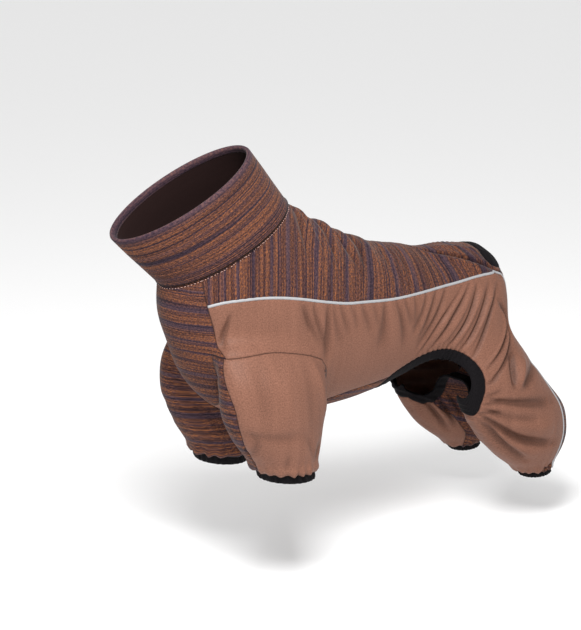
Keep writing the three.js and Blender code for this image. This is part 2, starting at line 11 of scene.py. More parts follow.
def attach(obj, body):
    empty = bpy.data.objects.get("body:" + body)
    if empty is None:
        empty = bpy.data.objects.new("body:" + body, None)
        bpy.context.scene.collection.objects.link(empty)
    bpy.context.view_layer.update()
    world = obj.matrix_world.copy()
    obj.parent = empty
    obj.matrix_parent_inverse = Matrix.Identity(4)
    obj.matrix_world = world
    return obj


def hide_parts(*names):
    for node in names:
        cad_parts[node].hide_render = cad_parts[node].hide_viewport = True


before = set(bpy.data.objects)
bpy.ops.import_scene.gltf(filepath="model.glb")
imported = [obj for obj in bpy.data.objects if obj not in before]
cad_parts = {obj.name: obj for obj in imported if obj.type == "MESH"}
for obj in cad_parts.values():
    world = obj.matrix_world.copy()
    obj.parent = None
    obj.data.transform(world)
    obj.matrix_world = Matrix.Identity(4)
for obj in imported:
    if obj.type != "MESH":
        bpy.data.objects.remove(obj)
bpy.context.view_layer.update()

# Driving sizes, as in the construction
BACK_LENGTH = 0.300
BODY_DEPTH = 0.200
BODY_WIDTH = 0.134
COLLAR_HEIGHT = 0.072
COLLAR_WIDTH = 0.092
SLEEVE_LENGTH = 0.138
SLEEVE_DEPTH = 0.120
SLEEVE_WIDTH = 0.070
SLEEVE_SPACING = 0.122
RIGHT_SLEEVE_DROP = 0.012
RIGHT_SLEEVE_INSET = 0.008
RIGHT_SLEEVE_BACK = 0.005
RIGHT_SLEEVE_DEPTH = 0.112
LEG_LENGTH = 0.138
LEG_DEPTH = 0.112
LEG_WIDTH = 0.072
LEG_SPACING = 0.116
CLOTH = 0.0014
COLLAR_STAND = 0.002
BINDING_WIDTH = 0.012
BINDING_WALL = 0.0024
CUFF_HEIGHT = 0.010
CUFF_WALL = 0.0026
PIPING_WIDTH = 0.003
COLLAR_CLOTH = 0.0010
TAIL_HOLE_WIDTH = 0.022
# Share of the elastic's width that shows round the tail hole, and how much wider the hole is
# across the back than along it
TAIL_BINDING_SHARE = 0.85
TAIL_SPREAD = 1.65
TAIL_RADIUS = TAIL_HOLE_WIDTH / 2 + TAIL_BINDING_SHARE * BINDING_WIDTH

SIDE_SPAN = np.array([BACK_LENGTH, BODY_DEPTH])
REAR_SPAN = np.array([BODY_WIDTH, BODY_DEPTH])
TOP_SPAN = np.array([BACK_LENGTH, BODY_WIDTH])

# Along the body the sleeves end at the first place, the opening's elastic starts at the second
# and the hind legs lie behind the third
SLEEVES_END = 0.1 * BACK_LENGTH
OPENING_START = 0.15 * BACK_LENGTH
BELLY_END = 0.5 * BACK_LENGTH

SHOULDER = np.array([-0.277 * BACK_LENGTH, SLEEVE_SPACING / 2, -0.5 * BODY_DEPTH])
RIGHT_SHOULDER = SHOULDER + [RIGHT_SLEEVE_BACK, -RIGHT_SLEEVE_INSET, 0]
HIP = np.array([0.707 * BACK_LENGTH, LEG_SPACING / 2, -0.825 * BODY_DEPTH])
TAIL_HOLE = np.array([0.792 * BACK_LENGTH, 0, -0.335 * BODY_DEPTH])
TAIL_TILT = 0.93

# Fineness of the modelled cloth
VOXEL = 0.0034
LOFT_STEP = 0.004
LOFT_SIDES = 120
LINE_STEP = 0.007
FOLD_STEP = 0.006
ROUTE_STEP = 0.002
COLLAR_STEP = 0.0015
COLLAR_SIDES = 200
CUFF_SIDES = 160
STRIP_SIDES = 12
# A corner nearer than this share of an edge to a seam is moved onto it
SNAP_SHARE = 0.22

# How far the open ends of the body and of its limbs are carried on before they are cut
BODY_CARRY = 0.015
LIMB_CARRY = 0.012
# How strongly and in how many rounds the whole surface is relaxed, and then the strip where
# each limb joins the body, by its breadth and rounds
SURFACE_RELAX = 0.4
SURFACE_ROUNDS = 4
JOIN_RELAX = 0.5
LIMB_JOINS = {"sleeve": (0.012, 26), "leg": (0.016, 40)}

# Body sections. Columns: top x, top z, bottom x, bottom z, half width, widest place.
BODY_ROWS = [
    (-0.110, 0.135, -0.567, -0.190, 0.343, 0.50),
    (-0.050, 0.080, -0.567, -0.360, 0.396, 0.50),
    (0.000, 0.020, -0.533, -0.515, 0.433, 0.48),
    (0.067, -0.025, -0.483, -0.690, 0.470, 0.46),
    (0.133, -0.085, -0.387, -0.850, 0.493, 0.45),
    (0.200, -0.120, -0.250, -0.950, 0.500, 0.45),
    (0.267, -0.165, -0.083, -0.972, 0.493, 0.46),
    (0.333, -0.190, 0.117, -0.970, 0.478, 0.48),
    (0.417, -0.215, 0.283, -0.942, 0.455, 0.50),
    (0.500, -0.250, 0.417, -0.935, 0.440, 0.52),
    (0.600, -0.260, 0.550, -0.990, 0.440, 0.55),
    (0.693, -0.275, 0.677, -1.030, 0.440, 0.56),
    (0.760, -0.285, 0.750, -1.000, 0.403, 0.56),
    (0.803, -0.330, 0.797, -0.920, 0.328, 0.52),
    (0.827, -0.420, 0.820, -0.800, 0.209, 0.50),
]
# Collar sections. Columns: back lean, back rise, front lean, front rise, half width.
COLLAR_ROWS = [
    (-0.003, 0.005, -0.003, 0.005, 0.500),
    (-0.200, 0.260, -0.240, 0.230, 0.480),
    (-0.390, 0.510, -0.480, 0.455, 0.465),
    (-0.585, 0.750, -0.710, 0.685, 0.470),
]
# Limb sections. Columns: front, front drop, rear, rear drop, out, half width.
SLEEVE_ROWS = [
    (-0.470, -0.036, 0.458, 0.036, 0.330, 0.343),
    (-0.512, 0.217, 0.508, 0.275, 0.475, 0.443),
    (-0.500, 0.449, 0.485, 0.493, 0.500, 0.500),
    (-0.395, 0.652, 0.445, 0.652, 0.500, 0.500),
    (-0.255, 0.812, 0.405, 0.812, 0.500, 0.486),
    (-0.150, 0.913, 0.355, 0.942, 0.500, 0.430),
]
LEG_ROWS = [
    (-0.400, -0.450, 0.120, -0.430, 0.230, 0.300),
    (-0.464, -0.145, 0.255, -0.170, 0.340, 0.360),
    (-0.482, 0.145, 0.445, 0.109, 0.431, 0.458),
    (-0.411, 0.348, 0.620, 0.297, 0.474, 0.486),
    (-0.285, 0.520, 0.780, 0.464, 0.500, 0.500),
    (-0.160, 0.655, 0.830, 0.601, 0.500, 0.500),
    (-0.025, 0.775, 0.826, 0.739, 0.500, 0.458),
    (0.165, 0.895, 0.750, 0.862, 0.491, 0.385),
    (0.325, 0.970, 0.665, 0.945, 0.491, 0.264),
]

# Seam lines. Side view lines are shares of the back length and body depth, rear view
# lines shares of the body width and body depth.
PIPING_SIDE_LINE = [
    (-0.530, -0.300), (-0.492, -0.294), (-0.433, -0.274), (-0.330, -0.271), (-0.254, -0.281),
    (-0.174, -0.303), (-0.070, -0.342), (0.016, -0.370), (0.090, -0.383), (0.226, -0.405),
    (0.355, -0.410), (0.539, -0.409), (0.637, -0.404), (0.729, -0.405), (0.800, -0.415),
]
ARMHOLE_LINE = [
    (0.020, -1.100), (0.010, -0.930), (-0.005, -0.836), (-0.036, -0.707), (-0.065, -0.650),
    (-0.150, -0.586), (-0.249, -0.544), (-0.327, -0.527), (-0.463, -0.536), (-0.560, -0.550),
]
SLEEVE_SEAM_LINE = [
    (0.870, -0.200), (0.885, 0.052), (1.003, 0.190), (1.141, 0.309), (1.215, 0.414),
    (1.200, 0.569), (1.131, 0.709), (1.060, 0.900), (1.020, 1.200),
]
PIPING_REAR_LINE = [
    (0.285, -0.385), (0.275, -0.430), (0.265, -0.477), (0.285, -0.626), (0.310, -0.700),
    (0.345, -0.762), (0.425, -0.876), (0.525, -1.006), (0.592, -1.114), (0.627, -1.178),
    (0.640, -1.266), (0.640, -1.350), (0.630, -1.393), (0.598, -1.450), (0.560, -1.560),
]
CHEST_SEAM_LINE = [
    (-0.505, -0.080), (-0.496, -0.150), (-0.487, -0.284), (-0.461, -0.433), (-0.458, -0.530),
    (-0.430, -0.700), (-0.373, -0.875), (-0.347, -1.025),
]
BELLY_SEAM_LINE = [
    (-0.400, -0.900), (-0.100, -0.900), (0.009, -0.885), (0.042, -0.876), (0.108, -0.860),
    (0.189, -0.850), (0.235, -0.842), (0.300, -0.830), (0.500, -0.800),
]
SEAT_SEAM_LINE = [
    (0.690, -0.300), (0.725, -0.500), (0.735, -0.750), (0.640, -0.870), (0.570, -0.950),
    (0.580, -1.050), (0.690, -1.210), (0.777, -1.315), (0.827, -1.400), (0.873, -1.600),
]
LEG_MIDDLE_LINE = [
    (0.710, -0.300), (0.740, -0.500), (0.765, -0.750), (0.783, -1.000), (0.850, -1.300),
    (0.900, -1.600),
]
OPENING_LINE = [
    (0.236, -1.200), (0.238, -0.960), (0.252, -0.846), (0.300, -0.789), (0.377, -0.745),
    (0.456, -0.733), (0.523, -0.757), (0.566, -0.797), (0.588, -0.848), (0.597, -0.905),
    (0.593, -0.975), (0.584, -1.038), (0.580, -1.100), (0.568, -1.145), (0.530, -1.180),
]
# How much further back the opening lies between the hind legs than on the left flank, and how
# much lower there on its left and right half
OPENING_INNER_SHIFT = 0.125 * BACK_LENGTH
OPENING_INNER_DROPS = (0.085 * BODY_DEPTH, 0.018 * BODY_DEPTH)
# How much further back and lower the opening lies on the right flank
OPENING_RIGHT_SHIFT = 0.024 * BACK_LENGTH
OPENING_RIGHT_DROP = 0.025 * BODY_DEPTH
# Where these fade in: outwards from the middle, along the body, and from left to right
OPENING_INNER = (0.034, 0.048)
OPENING_LEGS = (0.25 * BACK_LENGTH, 0.60 * BACK_LENGTH)
OPENING_RIGHT = (0.0, 0.03)
# Where the inner half of a hind leg ends and its outer half starts
LEG_INNER = (0.050, 0.064)
# How far the cloth of a hind leg and of a sleeve reaches over its cuff
LEG_OVERHANG = 0.003
SLEEVE_OVERHANG = 0.001

SIDES = {-1: "left", 1: "right"}


# Lofted forms

def body_sections():
    """Rows of top x, z, bottom x, z, middle y, half width and widest place."""
    top_x, top_z, bottom_x, bottom_z, half, widest = np.array(BODY_ROWS).T
    return np.column_stack([
        top_x * BACK_LENGTH, top_z * BODY_DEPTH,
        bottom_x * BACK_LENGTH, bottom_z * BODY_DEPTH,
        0 * half, half * BODY_WIDTH, widest,
    ])


def collar_sections():
    back_lean, back_rise, front_lean, front_rise, half = np.array(COLLAR_ROWS).T
    seam = body_sections()[0]
    return np.column_stack([
        seam[0] + back_lean * COLLAR_HEIGHT, seam[1] + back_rise * COLLAR_HEIGHT,
        seam[2] + front_lean * COLLAR_HEIGHT, seam[3] + front_rise * COLLAR_HEIGHT,
        0 * half, half * COLLAR_WIDTH, 0 * half + 0.5,
    ])


def limb_sections(rows, root, length, depth, width, drop=0.0):
    """Sections of a limb below its root, which sags by the drop towards its end."""
    front, front_drop, rear, rear_drop, out, half = np.array(rows).T
    sag = drop * np.linspace(0, 1, len(rows))
    return np.column_stack([
        root[0] + front * depth, root[2] - front_drop * length - sag,
        root[0] + rear * depth, root[2] - rear_drop * length - sag,
        2 * out * root[1], half * width, 0 * half + 0.5,
    ])


def sleeve_sections(side):
    if side < 0:
        return limb_sections(SLEEVE_ROWS, SHOULDER, SLEEVE_LENGTH, SLEEVE_DEPTH, SLEEVE_WIDTH)
    return limb_sections(SLEEVE_ROWS, RIGHT_SHOULDER, SLEEVE_LENGTH, RIGHT_SLEEVE_DEPTH,
                         SLEEVE_WIDTH, RIGHT_SLEEVE_DROP)


def leg_sections():
    return limb_sections(LEG_ROWS, HIP, LEG_LENGTH, LEG_DEPTH, LEG_WIDTH)


def smooth_rows(rows, step):
    """Smooth rows through those of a table, about one step apart."""
    rows = np.array(rows, dtype=float)
    padded = np.vstack([rows[:1], rows, rows[-1:]])
    made = []
    for a, b, c, d in zip(padded, padded[1:], padded[2:], padded[3:]):
        span = np.hypot(*(c - b)[:2])
        if len(b) > 2:
            span = max(span, np.hypot(*(c - b)[2:4]))
        count = max(1, round(span / step))
        slope_b, slope_c, rise = (c - a) / 2, (d - b) / 2, c - b
        for share in np.arange(count) / count:
            made.append(b + slope_b * share + (3 * rise - 2 * slope_b - slope_c) * share ** 2
                        + (slope_b + slope_c - 2 * rise) * share ** 3)
    return np.array(made + [rows[-1]])


def ring_grid(rows, side, sides, grow=0.0):
    """Points of the sections, one ring to a row, from the top or front over the outer side."""
    angle = 2 * np.pi * np.arange(sides) / sides
    first, last = rows[:, None, 0:2], rows[:, None, 2:4]
    centre = first + (last - first) * rows[:, None, 6:7]
    arm = np.where(np.cos(angle)[None, :, None] >= 0, first, last) - centre
    reach = np.linalg.norm(arm, axis=2, keepdims=True)
    arm = arm * (1 + grow / reach) * np.abs(np.cos(angle))[None, :, None]
    flat = centre + arm
    across = side * (rows[:, None, 4] + (rows[:, None, 5] + grow) * np.sin(angle))
    return np.stack([flat[..., 0], across, flat[..., 1]], axis=2)


def carried_ring(rings, distance):
    """The last ring moved on by a distance."""
    run = rings[-1].mean(axis=0) - rings[-2].mean(axis=0)
    return rings[-1:] + run * (distance / np.linalg.norm(run))


def numbered_rings(count, sides, first=0):
    """Numbers of the points of rings, ring by ring."""
    return (first + np.arange(count * sides).reshape(count, sides)).tolist()


def bridged(rings):
    """Faces between rings of numbered points, from each ring to the next."""
    faces = []
    for ring, after in zip(rings, rings[1:]):
        for i, j in enumerate([*range(1, len(ring)), 0]):
            faces.append((ring[i], ring[j], after[j], after[i]))
    return faces


def closed_loft(rings):
    """Points and faces of a closed form through rings, its ends fans round their middles."""
    count, sides = rings.shape[:2]
    points = np.vstack([rings.reshape(-1, 3), rings[0].mean(axis=0), rings[-1].mean(axis=0)])
    numbers = numbered_rings(count, sides)
    faces = bridged(numbers)
    for i, j in enumerate([*range(1, sides), 0]):
        faces.append((numbers[0][j], numbers[0][i], len(points) - 2))
        faces.append((numbers[-1][i], numbers[-1][j], len(points) - 1))
    return points, faces


def outward(points, faces):
    """The faces, all turned round if they enclose a negative volume."""
    fans = np.array([(face[0], *pair) for face in faces for pair in zip(face[1:], face[2:])])
    a, b, c = points[fans[:, 0]], points[fans[:, 1]], points[fans[:, 2]]
    volume = (np.cross(a, b) * c).sum()
    return faces if volume > 0 else [face[::-1] for face in faces]


# Meshes and arrays

def new_object(name, points, faces):
    mesh = bpy.data.meshes.new(name)
    mesh.from_pydata(np.asarray(points).tolist(), [], [list(map(int, f)) for f in faces])
    mesh.update()
    made = bpy.data.objects.new(name, mesh)
    bpy.context.scene.collection.objects.link(made)
    return made


def apply_modifiers(made):
    bpy.ops.object.select_all(action="DESELECT")
    bpy.context.view_layer.objects.active = made
    made.select_set(True)
    for modifier in list(made.modifiers):
        bpy.ops.object.modifier_apply(modifier=modifier.name)
    made.select_set(False)


def mesh_points(mesh):
    flat = np.empty(len(mesh.vertices) * 3)
    mesh.vertices.foreach_get("co", flat)
    return flat.reshape(-1, 3)


def mesh_edges(mesh):
    flat = np.empty(len(mesh.edges) * 2, dtype=np.int32)
    mesh.edges.foreach_get("vertices", flat)
    return flat.reshape(-1, 2)


def mesh_triangles(mesh):
    mesh.calc_loop_triangles()
    flat = np.empty(len(mesh.loop_triangles) * 3, dtype=np.int32)
    mesh.loop_triangles.foreach_get("vertices", flat)
    return flat.reshape(-1, 3)


def relaxed(points, edges, weight, rounds):
    """Points drawn towards the mean of their neighbours, by a weight for each."""
    a, b = edges.T
    count = np.bincount(a, minlength=len(points)) + np.bincount(b, minlength=len(points))
    count = np.maximum(count, 1)[:, None]
    for _ in range(rounds):
        total = np.stack([
            np.bincount(a, points[b, axis], len(points))
            + np.bincount(b, points[a, axis], len(points))
            for axis in range(3)
        ], axis=1)
        points = points + weight[:, None] * (total / count - points)
    return points


def vertex_normals(points, faces):
    corner = points[faces]
    facing = np.cross(corner[:, 1] - corner[:, 0], corner[:, 2] - corner[:, 0])
    total = np.stack([
        sum(np.bincount(faces[:, k], facing[:, axis], len(points)) for k in range(3))
        for axis in range(3)
    ], axis=1)
    return total / np.maximum(np.linalg.norm(total, axis=1, keepdims=True), 1e-12)


def distance_from(points, tree):
    return np.array([tree.find_nearest(point)[3] for point in points])


def soft_step(values, low, high):
    """Share from 0 at low to 1 at high, eased at both ends."""
    share = np.clip((values - low) / (high - low), 0, 1)
    return share * share * (3 - 2 * share)


# Seam lines as fields over the cloth

def side_line(line):
    return smooth_rows(np.array(line) * SIDE_SPAN, LINE_STEP)


def rear_line(line):
    return smooth_rows(np.array(line) * REAR_SPAN, LINE_STEP)


def sleeve_seam_line():
    """Seam between the outer and inner halves of a sleeve, in the rear view."""
    across, down = np.array(SLEEVE_SEAM_LINE).T
    places = np.column_stack([across * SLEEVE_SPACING / 2, SHOULDER[2] - down * SLEEVE_LENGTH])
    return smooth_rows(places, LINE_STEP)


def carried_on(line, distance=0.3):
    """The line with both of its ends carried on."""
    start = line[0] + (line[0] - line[1]) / np.linalg.norm(line[0] - line[1]) * distance
    end = line[-1] + (line[-1] - line[-2]) / np.linalg.norm(line[-1] - line[-2]) * distance
    return np.vstack([start, line, end])


def line_place(flat, line):
    """Signed distance from a line in a flat view, positive to the left of its run, and how
    far along the line its nearest place is."""
    across, up = flat.T
    best = np.full(len(flat), 1e6)
    turn = np.ones(len(flat))
    along = np.zeros(len(flat))
    passed = 0.0
    for start, end in zip(line, line[1:]):
        run_across, run_up = end - start
        squared = run_across ** 2 + run_up ** 2
        from_across, from_up = across - start[0], up - start[1]
        share = np.clip((from_across * run_across + from_up * run_up) / squared, 0, 1)
        distance = (from_across - share * run_across) ** 2 + (from_up - share * run_up) ** 2
        closer = distance < best
        best = np.where(closer, distance, best)
        turn = np.where(closer, run_across * from_up - run_up * from_across, turn)
        along = np.where(closer, passed + share * math.sqrt(squared), along)
        passed += math.sqrt(squared)
    return np.sqrt(best) * np.where(turn < 0, -1, 1), along


def line_field(flat, line):
    return line_place(flat, line)[0]


def outline_field(flat, outline):
    """Signed distance from a closed outline, positive outside it."""
    closed = np.vstack([outline, outline[:1]])
    away = np.abs(line_field(flat, closed))
    inside = np.zeros(len(flat), dtype=bool)
    for start, end in zip(closed, closed[1:]):
        crosses = (start[1] > flat[:, 1]) != (end[1] > flat[:, 1])
        rise = end[1] - start[1] if end[1] != start[1] else 1e-12
        at = start[0] + (flat[:, 1] - start[1]) / rise * (end[0] - start[0])
        inside ^= crosses & (flat[:, 0] < at)
    return np.where(inside, -away, away)


def section_field(points, row, towards):
    """Signed distance from the plane of a section, positive on the side of another one."""
    run = np.array([-(row[3] - row[1]), row[2] - row[0]])
    run = run / np.linalg.norm(run)
    if (towards[:2] - row[:2]) @ run < 0:
        run = -run
    return (points[:, [0, 2]] - row[:2]) @ run


# The whole suit as one surface, which the panels are cut from

def suit_forms():
    """Closed lofts of the body, legs and sleeves, with their open ends carried on."""
    body = ring_grid(smooth_rows(body_sections(), LOFT_STEP), -1, LOFT_SIDES)
    forms = {"body": np.concatenate([carried_ring(body[::-1], BODY_CARRY), body])}
    for side, word in SIDES.items():
        for limb, rows in (("leg", leg_sections()), ("sleeve", sleeve_sections(side))):
            rings = ring_grid(smooth_rows(rows, LOFT_STEP), side, LOFT_SIDES)
            forms[f"{limb}_{word}"] = np.concatenate([rings, carried_ring(rings, LIMB_CARRY)])
    lofts = {name: closed_loft(rings) for name, rings in forms.items()}
    return {name: (points, outward(points, faces)) for name, (points, faces) in lofts.items()}


def joined_forms(forms):
    """The forms as one object, remeshed into one skin."""
    faces = []
    base = 0
    for form_points, form_faces in forms.values():
        faces += [tuple(i + base for i in face) for face in form_faces]
        base += len(form_points)
    suit = new_object("suit", np.vstack([points for points, _ in forms.values()]), faces)
    remesh = suit.modifiers.new("join", "REMESH")
    remesh.mode = "VOXEL"
    remesh.voxel_size = VOXEL
    apply_modifiers(suit)
    return suit


def suit_surface():
    """Object of the whole outer surface, with fields that tell its limbs from its body."""
    forms = suit_forms()
    suit = joined_forms(forms)
    points = mesh_points(suit.data)
    edges = mesh_edges(suit.data)
    points = relaxed(points, edges, np.full(len(points), SURFACE_RELAX), SURFACE_ROUNDS)
    trees = {name: BVHTree.FromPolygons(p.tolist(), f) for name, (p, f) in forms.items()}
    from_body = distance_from(points, trees["body"])
    for limb, (breadth, rounds) in LIMB_JOINS.items():
        left, right = (distance_from(points, trees[f"{limb}_{word}"]) for word in SIDES.values())
        field = np.minimum(left, right) - from_body
        store(suit.data, limb, field)
        points = relaxed(points, edges, JOIN_RELAX * np.exp(-(field / breadth) ** 2), rounds)
    suit.data.vertices.foreach_set("co", points.ravel())
    finer = suit.modifiers.new("finer", "SUBSURF")
    finer.levels = 1
    finer.render_levels = 1
    apply_modifiers(suit)
    return suit


def store(mesh, name, values):
    attribute = mesh.attributes.new(name, "FLOAT", "POINT")
    attribute.data.foreach_set("value", np.asarray(values, dtype=np.float32))


def stored(mesh, name):
    values = np.empty(len(mesh.vertices), dtype=np.float32)
    mesh.attributes[name].data.foreach_get("value", values)
    return values.astype(float)


# Cutting the surface along its seams

# Columns of the table of corners: a corner's place, its place before folding, how deep it
# lies in a fold, and its fields
PLACE = slice(0, 3)
REST = slice(3, 6)
DENT = 6
FIRST_FIELD = 7
FIELDS = ["neck", "opening", "opening_inside", "tail", "tail_inside", "sleeve_end", "leg_end",
          "sleeve", "sleeve_seam", "chest", "yoke", "seat_between", "seat_behind"]
COLUMN = {name: FIRST_FIELD + i for i, name in enumerate(FIELDS)}


def cut_along(table, faces, field):
    """Split the faces where a column of the table is zero. New corners are blends of old."""
    values = table[faces, field]
    crossed = (values.min(axis=1) < 0) & (values.max(axis=1) > 0)
    table = snapped(table, faces[crossed], field)
    values = table[faces, field]
    crossed = (values.min(axis=1) < 0) & (values.max(axis=1) > 0)
    whole, parted = faces[~crossed], faces[crossed]
    edges = face_edges(parted)
    ends = table[edges, field]
    crossing = ends[:, 0] * ends[:, 1] < 0
    cut, index = np.unique(edges[crossing], axis=0, return_inverse=True)
    near, far = table[cut[:, 0]], table[cut[:, 1]]
    share = near[:, field] / (near[:, field] - far[:, field])
    added = near + share[:, None] * (far - near)
    added[:, field] = 0
    where = np.full(len(edges), -1)
    where[crossing] = len(table) + index.ravel()
    where = where.reshape(3, -1).T
    made = [whole]
    for turn in range(3):
        corner = np.roll(parted, -turn, axis=1)
        mid = np.roll(where, -turn, axis=1)
        lone = (mid[:, 0] >= 0) & (mid[:, 2] >= 0)
        a, b, c = corner[lone].T
        p, q = mid[lone, 0], mid[lone, 2]
        made += [np.column_stack(t) for t in ((a, p, q), (p, b, c), (p, c, q))]
        single = (mid[:, 0] >= 0) & (mid[:, 1] < 0) & (mid[:, 2] < 0)
        a, b, c = corner[single].T
        p = mid[single, 0]
        made += [np.column_stack(t) for t in ((a, p, c), (p, b, c))]
    return np.vstack([table, added]), np.vstack(made)


def face_edges(faces):
    """The three edges of each face, first all first edges, each with its lower end first."""
    edges = np.vstack([faces[:, [0, 1]], faces[:, [1, 2]], faces[:, [2, 0]]])
    return np.sort(edges, axis=1)


def snapped(table, faces, field):
    """Corners close to the zero line of a field are moved onto it."""
    table = table.copy()
    edges = np.unique(face_edges(faces), axis=0)
    edges = np.vstack([edges, edges[:, ::-1]])
    start, end = table[edges[:, 0], field], table[edges[:, 1], field]
    free = (np.abs(table[edges[:, 0], FIRST_FIELD:]) > 1e-12).all(axis=1)
    close = (start * end < 0) & free
    share = np.where(close, start / np.where(close, start - end, 1), 1)
    close &= share < SNAP_SHARE
    order = np.argsort(-share[close])
    edges, share = edges[close][order], share[close][order]
    moved = table[edges[:, 0]] + share[:, None] * (table[edges[:, 1]] - table[edges[:, 0]])
    table[edges[:, 0]] = moved
    table[edges[:, 0], field] = 0
    return table


def opening_field(points):
    """Signed distance from the belly opening's edge in the side view, above 0 outside it."""
    inner = 1 - soft_step(np.abs(points[:, 1]), *OPENING_INNER)
    legs = inner * soft_step(points[:, 0], *OPENING_LEGS)
    right = soft_step(points[:, 1], *OPENING_RIGHT)
    right_flank = right * (1 - inner)
    inner_drop = legs * np.interp(right, [0, 1], OPENING_INNER_DROPS)
    shift = OPENING_INNER_SHIFT * legs + OPENING_RIGHT_SHIFT * right_flank
    drop = inner_drop + OPENING_RIGHT_DROP * right_flank
    side_view = points[:, [0, 2]] - np.column_stack([shift, -drop])
    return outline_field(side_view, side_line(OPENING_LINE))


def tail_distance(points):
    """Distance from the axis of the tail hole, which is wider across the back than along it."""
    axis = np.array([math.sin(TAIL_TILT), 0, math.cos(TAIL_TILT)])
    from_hole = points - TAIL_HOLE
    away = from_hole - (from_hole @ axis)[:, None] * axis
    distance = np.linalg.norm(away / [1, TAIL_SPREAD, 1], axis=1)
    return np.where(points[:, 0] > BELLY_END, distance, BACK_LENGTH)


def limb_end(points, rows):
    """Distance beyond the last section of a sleeve or leg, negative before it."""
    return -section_field(points, rows[-1], rows[-2])


def suit_fields(points, sleeve):
    """Every seam and edge of the suit as a field over its surface."""
    x, y, z = points.T
    side_view = points[:, [0, 2]]
    rear_view = np.column_stack([np.abs(y), z])

    def beside(line):
        return line_field(side_view, carried_on(side_line(line)))

    opening = opening_field(points)
    tail = tail_distance(points)
    belly = np.minimum.reduce([-beside(BELLY_SEAM_LINE), BELLY_END - x, SHOULDER[2] - z])
    seat_inner = line_field(side_view, carried_on(np.array(SEAT_SEAM_LINE) * SIDE_SPAN))
    seat_outer = beside(LEG_MIDDLE_LINE)
    outer_leg = soft_step(np.abs(y), *LEG_INNER)
    sleeve_end = np.where(y < 0, *(limb_end(points, sleeve_sections(side)) for side in SIDES))
    leg_end = limb_end(points, leg_sections())
    fields = {
        "neck": section_field(points, *body_sections()[:2]),
        "opening": opening,
        "opening_inside": opening + BINDING_WIDTH,
        "tail": tail - TAIL_RADIUS,
        "tail_inside": tail - TAIL_HOLE_WIDTH / 2,
        "sleeve_end": np.where(x < SLEEVES_END, sleeve_end - SLEEVE_OVERHANG, -1),
        "leg_end": np.where(x > BELLY_END, leg_end - LEG_OVERHANG, -1),
        "sleeve": np.maximum(sleeve, -beside(ARMHOLE_LINE)),
        "sleeve_seam": line_field(rear_view, carried_on(sleeve_seam_line())),
        "chest": np.maximum(-beside(CHEST_SEAM_LINE), belly),
        "yoke": beside(PIPING_SIDE_LINE),
        "seat_between": -line_field(rear_view, carried_on(rear_line(PIPING_REAR_LINE))),
        "seat_behind": seat_inner + (seat_outer - seat_inner) * outer_leg,
    }
    return np.column_stack([fields[name] for name in FIELDS])


def suit_table(suit):
    """Table of the corners of the folded surface and its triangles."""
    rest = mesh_points(suit.data)
    faces = mesh_triangles(suit.data)
    normals = vertex_normals(rest, faces)
    fields = suit_fields(rest, stored(suit.data, "sleeve"))
    height = fold_height(rest, normals, fields)
    place = rest + normals * height[:, None]
    table = np.column_stack([place, rest, np.maximum(-height, 0), fields])
    for name in FIELDS:
        table, faces = cut_along(table, faces, COLUMN[name])
    return table, faces


# Folds of the cloth

